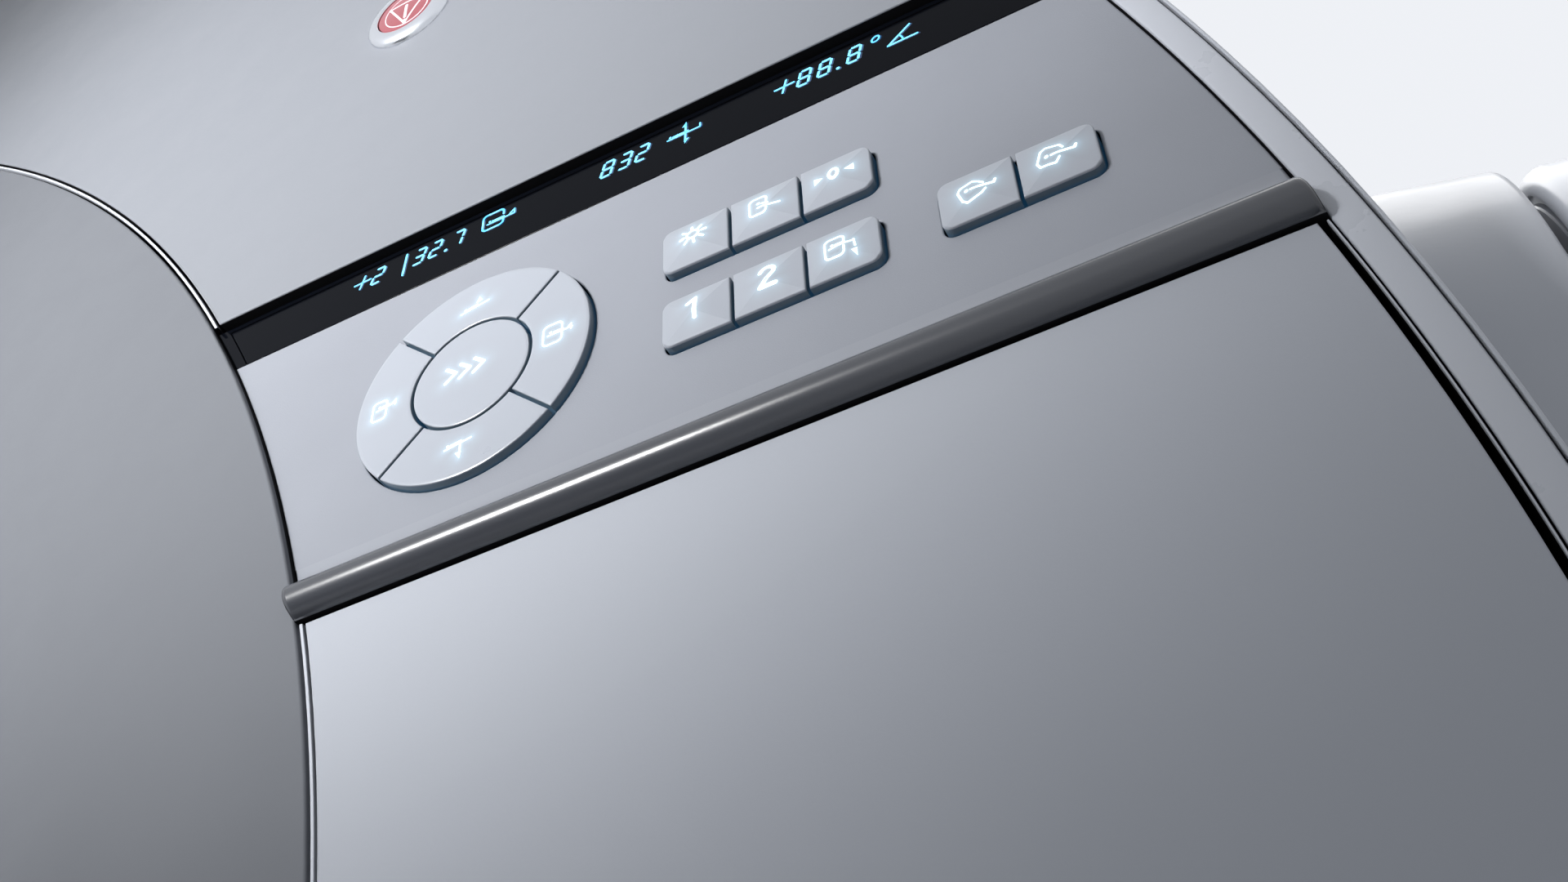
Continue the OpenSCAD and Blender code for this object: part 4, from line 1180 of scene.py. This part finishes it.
class Sign:
    """Flat strokes and filled shapes, cut small enough to lie on a key's facets."""

    def __init__(self):
        self.shapes = []
        self.samples = []

    def disc(self, x, y, r, steps=14):
        self.shapes.append([(x + r * math.cos(a), y + r * math.sin(a)) for a in turns(steps)])
        self.samples.append((x, y))

    def line(self, points, width, closed=False):
        chain = list(points)
        if closed:
            chain.append(chain[0])
        for (x0, y0), (x1, y1) in zip(chain, chain[1:]):
            length = math.hypot(x1 - x0, y1 - y0)
            steps = max(1, math.ceil(length / SIGN_STEP))
            nx = -(y1 - y0) / length * width / 2
            ny = (x1 - x0) / length * width / 2
            stops = run((x0, y0), (x1, y1), steps, 0, 1)
            for (ax, ay), (bx, by) in zip(stops, stops[1:]):
                self.shapes.append([(ax - nx, ay - ny), (bx - nx, by - ny), (bx + nx, by + ny),
                                    (ax + nx, ay + ny)])
                self.samples.append(((ax + bx) / 2, (ay + by) / 2))
        for x, y in chain:
            self.disc(x, y, width / 2, 10)

    def triangle(self, a, b, c):
        longest = max(math.dist(a, b), math.dist(b, c), math.dist(c, a))
        if longest < SIGN_PATCH:
            self.shape([a, b, c])
            return
        ab, bc, ca = [((p[0] + q[0]) / 2, (p[1] + q[1]) / 2) for p, q in ((a, b), (b, c), (c, a))]
        for part in ((a, ab, ca), (ab, b, bc), (ca, bc, c), (ab, bc, ca)):
            self.triangle(*part)

    def shape(self, points):
        self.shapes.append(points)
        self.samples.append(tuple(sum(values) / len(points) for values in zip(*points)))


def open_box(sign, x, y, w, h, r, table_y, width, gap=1.1):
    """A rounded box standing for the gantry, open on the right where the table passes."""
    chain = [(x + w, table_y - gap)]
    chain += arc(x + w - r, y + r, r, 0, -quarter, 5)
    chain += arc(x + r, y + r, r, -quarter, -2 * quarter, 5)
    chain += arc(x + r, y + h - r, r, 2 * quarter, quarter, 5)
    chain += arc(x + w - r, y + h - r, r, quarter, 0, 5)
    chain.append((x + w, table_y + gap))
    sign.line(chain, width)


def table(sign, x0, x1, y, width, slope=0.0):
    """A table seen from the side with a head and a body lying on it."""
    def up(x):
        return y + slope * (x - x0)
    sign.line([(x0, up(x0)), (x1, up(x1))], width)
    sign.disc(x0 + 0.9, up(x0 + 0.9) + 0.95, 0.45)
    a = x0 + 1.9
    b = x0 + 0.62 * (x1 - x0)
    sign.line([(a, up(a) + 0.7), (b, up(b) + 0.62)], width * 1.25)


def key_signs():
    signs = {}
    s = signs["pad_up"] = Sign()
    s.line(marks(-5.96, 26.14, 3.24, 27.72), 0.55)
    s.disc(*mark(-4.6, 27.3), 0.42)
    s.line(marks(-3.7, 27.2, -0.6, 27.75), 0.6)
    s.triangle(mark(-0.19, 30.9), mark(-1.15, 28.6), mark(1.0, 28.95))
    s = signs["pad_down"] = Sign()
    table(s, -5.5, 2.8, -27.1, 0.55, 0.13)
    s.line([(-0.5, -26.6), (-0.5, -30.0)], 0.6)
    s.triangle((-0.35, -32.2), (-1.9, -29.7), (0.0, -29.7))
    s = signs["pad_right"] = Sign()
    open_box(s, 23.4, -2.9, 6.0, 7.6, 1.5, 1.1, 0.62)
    table(s, 24.9, 32.6, 0.7, 0.5)
    s.line([(31.2, 0.8), (32.2, 2.0), (32.3, 0.0)], 0.5)
    s = signs["pad_left"] = Sign()
    open_box(s, -32.7, -3.6, 4.7, 7.2, 1.3, 0.9, 0.62)
    table(s, -31.3, -25.0, 0.3, 0.5, 0.12)
    s.line([(-26.4, 1.0), (-25.0, 2.2), (-25.1, 0.4)], 0.5)
    s = signs["pad_middle"] = Sign()
    for x in (-8.2, -3.6, 1.0):
        s.line([(x, 4.9), (x + 3.2, 2.2), (x, -0.5)], 1.15)
    s = signs["key_light"] = Sign()
    cx, cy = mark(70.0, 15.9)
    s.line(circle_loop(cx, cy, 1.75, 20), 0.75, closed=True)
    for a in turns(8):
        c = math.cos(a + 0.12)
        d = math.sin(a + 0.12)
        s.line([(cx + 2.75 * c, cy + 2.5 * d), (cx + 3.9 * c, cy + 3.5 * d)], 0.8)
    s = signs["key_load"] = Sign()
    open_box(s, 87.2, 11.3, 5.0, 7.2, 1.4, 14.1, 0.6)
    s.line([(89.8, 13.8), (96.0, 13.4)], 0.6)
    s.disc(89.9, 15.7, 0.55)
    s.line([(91.0, 15.2), (92.6, 14.6)], 0.7)
    s = signs["key_zero"] = Sign()
    cx, cy = mark(111.65, 15.65)
    s.line([(cx + 1.25 * math.cos(a), cy + 2.05 * math.sin(a)) for a in turns(20)], 0.95, closed=True)
    s.triangle((cx - 5.7, cy + 1.2), (cx - 5.7, cy - 1.3), (cx - 3.1, cy))
    s.triangle((cx + 5.7, cy + 1.2), (cx + 5.7, cy - 1.3), (cx + 3.1, cy))
    s = signs["key_one"] = Sign()
    cx = 70.2
    s.line([(cx - 1.9, -11.6), (cx + 0.3, -10.1), (cx + 0.3, -17.6)], 1.25)
    s = signs["key_two"] = Sign()
    cx = 91.3
    s.line(arc(cx, -12.2, 2.0, 2 * quarter * 0.95, -0.35, 9) + [(cx - 2.2, -17.5), (cx + 2.3, -17.5)], 1.25)
    s = signs["key_unload"] = Sign()
    open_box(s, 107.4, -17.8, 5.3, 7.4, 1.5, -14.0, 0.62)
    table(s, 108.6, 115.5, -14.2, 0.5)
    s.line([(115.3, -13.9), (115.6, -16.4)], 0.55)
    s.triangle((115.9, -20.1), (114.5, -17.5), (116.1, -17.3))
    s = signs["key_tilt_back"] = Sign()
    s.line(marks(150.0, -12.2, 148.9, -11.0, 147.39, -9.9, 143.9, -11.3, 143.3, -12.4, 144.3, -16.0, 145.44,
                 -17.0, 149.4, -15.6, 150.4, -14.5), 0.6)
    s.disc(*mark(145.6, -12.9), 0.55)
    s.line(marks(146.8, -13.0, 152.6, -13.2, 153.0, -12.2), 0.75)
    s = signs["key_tilt_front"] = Sign()
    s.line(marks(170.5, -11.5, 169.7, -9.9, 166.2, -9.0, 165.0, -9.9, 163.6, -13.7, 164.3, -15.4, 168.2,
                 -16.0, 169.3, -14.6), 0.6)
    s.disc(*mark(166.2, -12.7), 0.55)
    s.line(marks(167.5, -12.9, 173.2, -12.9, 173.6, -11.9), 0.75)
    return signs


def sign_mesh(name, sign, height, lift_by, body, mat):
    verts = []
    faces = []
    for shape in sign.shapes:
        first = len(verts)
        verts += [on_panel(x, y, height(x, y) + lift_by) for x, y in shape]
        faces.append(tuple(range(first, len(verts))))
    mesh = bpy.data.meshes.new(name)
    mesh.from_pydata(verts, [], faces)
    dress(name, mesh, body, (), (mat,))


def key_height(node):
    if node not in KEYS:
        return lambda x, y: KEY_TOP
    x0, top, _ = KEYS[node]
    return lambda x, y: roof(x, y, x0 + KEY_W / 2, top - KEY_H / 2)


def light_cap(cap, sign):
    """Writes how near each point of a cap lies to its sign's strokes."""
    layer = cap.data.attributes.new("glow", "FLOAT", "POINT")
    for vert in cap.data.vertices:
        x = vert.co.x * 1000 - PAD_X
        y = vert.co.z * 1000 - ISO_H - PAD_Y
        near = min((x - a) ** 2 + (y - b) ** 2 for a, b in sign.samples)
        side = 1 if vert.co.y * -1000 > KEY_TOP - 1 else 0
        close = 0.65 * math.exp(-near / GLOW_NEAR)
        layer.data[vert.index].value = side * (close + 0.35 * math.exp(-near / GLOW_FAR))


for node, sign in key_signs().items():
    sign_mesh(node + "_sign", sign, key_height(node), SIGN_LIFT, node, M["sign_light"])
    light_cap(caps[node], sign)


SEGMENTS = {
    "a": ((0, 1), (1, 1)), "b": ((1, 1), (1, 0.5)), "c": ((1, 0.5), (1, 0)), "d": ((0, 0), (1, 0)),
    "e": ((0, 0.5), (0, 0)), "f": ((0, 1), (0, 0.5)), "g": ((0, 0.5), (1, 0.5)),
}
DIGITS = {"1": "bc", "2": "abged", "3": "abgcd", "7": "abc", "8": "abcdefg"}
DIGIT_W = 3.4
DIGIT_H = 6.3
SLANT = 0.25
STROKE = 0.85
SEGMENT_GAP = 0.12
BASE = 63.7


def digit(sign, text, x):
    """Seven-segment figure with slanted uprights, x its lower left corner, its points as complex numbers."""
    half = STROKE / 2
    for name in DIGITS[text]:
        a, b = [complex(x + half + u * DIGIT_W + v * DIGIT_H * SLANT, BASE + half + v * DIGIT_H)
                for u, v in SEGMENTS[name]]
        along = (b - a) / abs(b - a)
        across = 1j * along * half
        a += along * SEGMENT_GAP
        b -= along * SEGMENT_GAP
        cut_off = along * half * 0.8
        corners = (a, a + cut_off - across, b - cut_off - across, b, b - cut_off + across,
                   a + cut_off + across)
        sign.shape([(corner.real, corner.imag) for corner in corners])


def plus(sign, x, y):
    sign.line([(x - 3.0, y - 0.1), (x + 3.0, y + 0.1)], STROKE * 0.8)
    sign.line([(x - 0.7, y - 2.7), (x + 0.7, y + 2.7)], STROKE * 0.8)


def display():
    s = Sign()
    plus(s, -48.5, 67.3)
    digit(s, "2", -45.5)
    s.line([(-32.8, 61.8), (-32.2, 71.0)], STROKE)
    digit(s, "3", -30.0)
    digit(s, "2", -24.1)
    s.disc(-17.2, BASE + 0.5, 0.62)
    digit(s, "7", -15.9)
    open_box(s, -4.0, 64.7, 7.4, 7.0, 1.4, 67.9, 0.75, 1.3)
    table(s, -2.4, 7.2, 67.2, 0.6)
    s.line([(5.6, 67.6), (7.3, 69.2), (7.4, 67.2)], 0.6)
    digit(s, "8", 37.0)
    digit(s, "3", 43.0)
    digit(s, "2", 48.8)
    table(s, 60.2, 71.0, 67.1, 0.6)
    s.line([(71.0, 67.1), (71.0, 68.7)], 0.6)
    s.line([(66.3, 71.4), (66.0, 63.2)], 0.7)
    s.triangle((66.5, 72.2), (65.0, 70.2), (66.6, 70.2))
    s.triangle((65.8, 62.2), (65.9, 64.3), (67.4, 64.3))
    plus(s, 98.3, 67.3)
    digit(s, "8", 101.7)
    digit(s, "8", 108.1)
    s.disc(115.0, BASE + 0.5, 0.62)
    digit(s, "8", 117.3)
    s.line([(127.0 + 1.15 * math.cos(a) + 0.3 * math.sin(a), 69.7 + 1.2 * math.sin(a)) for a in turns(14)],
           0.6, closed=True)
    s.line([(137.3, 69.4), (130.3, 63.6), (139.2, 63.6)], 0.7)
    s.line(arc(130.3, 63.6, 4.6, 0.0, 0.7, 6), 0.5)
    sign_mesh("display_figures", s, lambda x, y: PANEL_Z, 0.06, "gantry", M["digit_light"])
    # Dark blue copy of the figures, moved down and right: a painted reflection of the figures in the glass
    shadow = Sign()
    shadow.shapes = [[(x + 0.5, y - 0.38) for x, y in shape] for shape in s.shapes]
    sign_mesh("display_painted_reflection", shadow, lambda x, y: PANEL_Z, 0.03, "gantry",
              M["digit_shadow"])


display()


# Sign on the stop button: a ring, a triangle on its tip and a stroke with a dot
def stop_sign():
    cx, cy, ring = 0.8, -1.1, 9.3
    s = Sign()
    ox = cx - STOP_DX
    oy = cy + STOP_DY
    s.line(circle_loop(ox, oy, ring, 60), 0.5, closed=True)
    corners = [(ox + (ring - 0.5) * math.cos(a), oy + (ring - 0.5) * math.sin(a))
               for a in (quarter / 3, 5 * quarter / 3, 3 * quarter)]
    s.line(corners, 0.85, closed=True)
    s.line([(ox + 0.1, oy + 2.0), (ox, oy - 5.2)], 1.3)
    s.disc(ox, oy - 7.0, 0.6)
    sign_mesh("stop_button_sign", s, lambda x, y: crown(math.hypot(x + STOP_DX, y - STOP_DY)), 0.03,
              "stop_button", M["sign_pale"])


stop_sign()


# Bellows of the table's lift
TABLE_Y = -1615.0
TABLE_W = 255.0
TABLE_HALF = 575.0
TABLE_CORNER = 60.0
BELLOWS_LOW = 360.0
BELLOWS_TOP = 755.0
FOLDS = 9
FOLD_OUT = 25.0
FOLD_IN = 38.0
CLOTH_T = 2.6
HEM = 4.0

# Height and depth of the points of one fold, as shares of its height and depth
FOLD = ((0.04, 0.02), (0.12, 0.16), (0.3, 0.56), (0.43, 0.86), (0.48, 0.97), (0.52, 0.97), (0.57, 0.86),
        (0.7, 0.56), (0.88, 0.16), (0.96, 0.02))


def plinth_loop(inset, z, steps=10, along=14, across=6):
    """Outline of the table's cover at a height, drawn in by an inset."""
    w = TABLE_W - inset
    h = TABLE_HALF - inset
    r = TABLE_CORNER - inset
    corners = ((w - r, h - r, 0), (r - w, h - r, 1), (r - w, r - h, 2), (w - r, r - h, 3))
    points = []
    for k, (x, y, turn) in enumerate(corners):
        bend = arc(x, y, r, turn * quarter, (turn + 1) * quarter, steps)
        points += bend
        nx, ny, _ = corners[(k + 1) % 4]
        start = bend[-1]
        end = (nx + r * math.cos((turn + 1) * quarter), ny + r * math.sin((turn + 1) * quarter))
        count = across if turn % 2 == 0 else along
        points += run(start, end, count)
    return [(x / 1000, (TABLE_Y + y) / 1000, z / 1000) for x, y in points]


def bellows():
    step = (BELLOWS_TOP - BELLOWS_LOW - 2 * HEM) / FOLDS
    rows = [(FOLD_OUT, BELLOWS_LOW), (FOLD_OUT, BELLOWS_LOW + HEM)]
    for k in range(FOLDS):
        z = BELLOWS_LOW + HEM + k * step
        for share, depth in FOLD:
            rows.append((FOLD_OUT + (FOLD_IN - FOLD_OUT) * depth, z + share * step))
    rows += [(FOLD_OUT, BELLOWS_TOP - HEM), (FOLD_OUT, BELLOWS_TOP)]
    loops = [plinth_loop(inset, z) for inset, z in rows]
    loops += [plinth_loop(inset + CLOTH_T, z) for inset, z in reversed(rows)]
    verts, faces = rings(loops, closed=True)
    obj = make("bellows_cloth", verts, faces, "bellows_rubber", "base", ["table_bellows"], sharp=70)
    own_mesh(obj)


bellows()

# Mattress on the cradle: foam in welded vinyl, piped along its edge
PAD_HALF = 183.5
PAD_NEAR = -1241.5
PAD_FAR = -3108.5
PAD_TOP = 911.5
TROUGH_R = 853.0
TROUGH_LOW = 885.0
PAD_CORNER = 28.0
PAD_CLEAR = 0.8
PAD_HELD = 3.0
PAD_COLUMNS = 24
PAD_ROWS = 120
PAD_MESH = 0.0045
PAD_FRAMES = 20
SEAMS = (-1480.0, -2060.0, -2640.0)
SEAM_DIP = 5.5
SEAM_PULL = 2.2
EDGE_DIP = 2.6
RIPPLE = 0.35
PIPE_R = 1.9
PIPE_OUT = 0.6
PIPE_DROP = 3.2
PIPE_RISE = 2.4


def trough_z(x):
    return TROUGH_LOW + TROUGH_R - math.sqrt(TROUGH_R ** 2 - x * x)


def pad_plan(inset, steps):
    """Plan outline of the mattress with rounded corners."""
    r = PAD_CORNER
    w = PAD_HALF - inset
    near = PAD_NEAR - inset
    far = PAD_FAR + inset
    points = []
    for k, (x, y) in enumerate(((w - r, near - r), (r - w, near - r), (r - w, far + r), (w - r, far + r))):
        points += arc(x, y, r, k * quarter, (k + 1) * quarter, steps)
    return points


def pad_block(name):
    """The mattress before it is filled: flat top, underside lying in the trough."""
    columns = [-1 + 2 * i / PAD_COLUMNS for i in range(PAD_COLUMNS + 1)]
    rows = [PAD_NEAR + (PAD_FAR - PAD_NEAR) * i / PAD_ROWS for i in range(PAD_ROWS + 1)]
    r = PAD_CORNER

    def half_width(y):
        edge = min(PAD_NEAR - y, y - PAD_FAR)
        if edge >= r:
            return PAD_HALF
        return PAD_HALF - r + math.sqrt(max(0.0, r * r - (r - edge) ** 2))

    verts = []
    for height in (lambda x: PAD_TOP, lambda x: trough_z(x) + PAD_CLEAR):
        for y in rows:
            w = half_width(y)
            verts += [(u * w / 1000, y / 1000, height(u * w) / 1000) for u in columns]
    n = len(columns)
    low = n * len(rows)
    faces = []
    for k in range(len(rows) - 1):
        for i in range(n - 1):
            a = k * n + i
            faces.append((a, a + 1, a + n + 1, a + n))
            faces.append((low + a, low + a + n, low + a + n + 1, low + a + 1))
        faces.append((k * n, (k + 1) * n, low + (k + 1) * n, low + k * n))
        b = k * n + n - 1
        faces.append((b, low + b, low + b + n, b + n))
    for i in range(n - 1):
        faces.append((i, low + i, low + i + 1, i + 1))
        b = (len(rows) - 1) * n + i
        faces.append((b, b + 1, low + b + 1, low + b))
    return make(name, verts, faces, "mattress_vinyl", "tabletop", sharp=180)


def fill_pad(obj):
    """Blows the mattress up a little as cloth, its underside held by the trough."""
    mod = obj.modifiers.new("voxels", "REMESH")
    mod.mode = "VOXEL"
    mod.voxel_size = PAD_MESH
    applied(obj)
    start = [v.co.copy() for v in obj.data.vertices]
    group = obj.vertex_groups.new(name="held")
    held = [v.index for v in obj.data.vertices if v.co.z * 1000 < trough_z(v.co.x * 1000) + PAD_HELD]
    group.add(held, 1.0, "REPLACE")
    cloth = obj.modifiers.new("filling", "CLOTH")
    cloth.settings.use_pressure = True
    cloth.settings.uniform_pressure_force = 4
    cloth.settings.effector_weights.gravity = 0
    cloth.settings.vertex_group_mass = "held"
    cloth.settings.quality = 4
    cloth.point_cache.frame_start = 1
    cloth.point_cache.frame_end = PAD_FRAMES
    scene = bpy.context.scene
    for step in range(1, PAD_FRAMES + 1):
        scene.frame_set(step)
    applied(obj)
    obj.vertex_groups.clear()
    for v, was in zip(obj.data.vertices, start):
        move = v.co - was
        if move.length > PAD_MESH:
            v.co = was + move.normalized() * PAD_MESH
    scene.frame_set(1)


def pad_seams(obj):
    """Presses the welded cross seams into the mattress."""
    for v in obj.data.vertices:
        x, y, z = v.co * 1000
        low = trough_z(x)
        share = max(0.0, min(1.0, (z - low) / max(1.0, PAD_TOP - low)))
        dip = 0.0
        for seam in SEAMS:
            away = y - seam
            dip += SEAM_DIP * math.exp(-(away / 5.0) ** 2) + SEAM_PULL * math.exp(-(away / 26.0) ** 2)
        edge = min(PAD_HALF - abs(x), PAD_NEAR - y, y - PAD_FAR)
        dip += EDGE_DIP * math.exp(-max(0.0, edge) / 9.0)
        ripple = RIPPLE * math.sin(y / 31.0 + 1.7 * math.sin(x / 47.0)) * math.sin(x / 39.0 + y / 83.0)
        v.co.z = (z - share * (dip + ripple)) / 1000


def mattress():
    obj = pad_block("mattress_foam")
    fill_pad(obj)
    pad_seams(obj)
    for poly in obj.data.polygons:
        poly.use_smooth = True
    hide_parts("mattress")


def piping():
    """Piped seam round the mattress, a little above its lower edge."""
    plan = dense(pad_plan(-PIPE_OUT, 10), 25, math.ceil)
    loops = []
    for i, (x, y) in enumerate(plan):
        xa, ya = plan[i - 1]
        xb, yb = plan[(i + 1) % len(plan)]
        length = math.hypot(xb - xa, yb - ya)
        nx, ny = (yb - ya) / length, -(xb - xa) / length
        z = max(PAD_TOP - PIPE_DROP, trough_z(min(abs(x), PAD_HALF)) + PIPE_RISE)
        loops.append([((x + nx * PIPE_R * math.cos(a)) / 1000, (y + ny * PIPE_R * math.cos(a)) / 1000,
                       (z + PIPE_R * math.sin(a)) / 1000) for a in turns(10)])
    make("mattress_piping", *rings(loops, closed=True), "mattress_vinyl", "tabletop", sharp=80)


mattress()
piping()


# Light and surroundings
def seen_ray(tree):
    """1 for a ray from the camera, off a glossy surface or through glass, and 0 for the light itself."""
    path = build(tree, "LightPath", {})
    seen = path.outputs["Is Camera Ray"]
    for ray in ("Is Glossy Ray", "Is Transmission Ray"):
        seen = build(tree, "Math", {0: seen, 1: path.outputs[ray]}, operation="MAXIMUM").outputs["Value"]
    return seen


PALE = (0.86, 0.88, 0.92)


def add_world():
    world = bpy.data.worlds.new("world")
    bpy.context.scene.world = world
    world.use_nodes = True
    tree = world.node_tree
    where = build(tree, "TexCoord", {}).outputs["Generated"]
    aim = build(tree, "VectorMath", {0: where, 1: (-0.55, -0.75, 0.36)}, operation="DOT_PRODUCT")
    side = spread(tree, aim.outputs["Value"], 0, 1, -0.3, 0.95)
    light = tree.nodes["Background"]
    feed(tree, light, {"Color": tint(tree, side, (0.40, 0.42, 0.45), (0.96, 0.98, 1.0)), "Strength": 0.5})
    pale = build(tree, "Background", {"Color": full(PALE), "Strength": 1.0})
    mix = build(tree, "MixShader", {"Fac": seen_ray(tree), 1: light.outputs[0], 2: pale.outputs[0]})
    feed(tree, tree.nodes["World Output"], {"Surface": mix.outputs["Shader"]})


def add_lamp(name, kind, place, target, power, **fields):
    """A lamp turned to its target and out of the camera's sight."""
    data = bpy.data.lights.new(name, kind)
    data.energy = power
    for field, value in fields.items():
        setattr(data, field, value)
    lamp = put(name, data)
    lamp.location = place
    lamp.rotation_euler = (Vector(target) - Vector(place)).to_track_quat("-Z", "Y").to_euler()
    lamp.visible_camera = False


def add_floor():
    mesh = bpy.data.meshes.new("floor")
    mesh.from_pydata([(-9, -10, 0), (9, -10, 0), (9, 8, 0), (-9, 8, 0)], [], [(0, 1, 2, 3)])
    paint = finish("floor_paint", (0.84, 0.85, 0.87), 0.6, grain=60, patch=1.5, vary=0.02)
    tree, bsdf = parts(paint)
    shine = spread(tree, seen_ray(tree), 0, 0.42, 0, 1)
    feed(tree, bsdf, {"Emission Color": full(PALE), "Emission Strength": shine})
    mesh.materials.append(paint)
    obj = put("floor", mesh)
    obj.location.z = -0.001


add_world()
add_lamp("key", "AREA", (-2.4, -4.2, 1.6), (0.4, -0.4, 1.3), 8, shape="RECTANGLE", size=2.0, size_y=0.5)
add_lamp("top", "AREA", (0.6, 0.6, 4.2), (0.3, 0.2, 0.9), 34, shape="RECTANGLE", size=2.6, size_y=2.0)

# A soft-edged pool of light on the control panel
add_lamp("panel_light", "SPOT", (0.3, -1.35, 1.36), (0.6, -0.49, 1.42), 80, spot_size=math.radians(49),
         spot_blend=1.0, shadow_soft_size=0.1)
add_floor()

bpy.context.scene.view_settings.view_transform = "Standard"
bpy.context.scene.view_settings.look = "None"
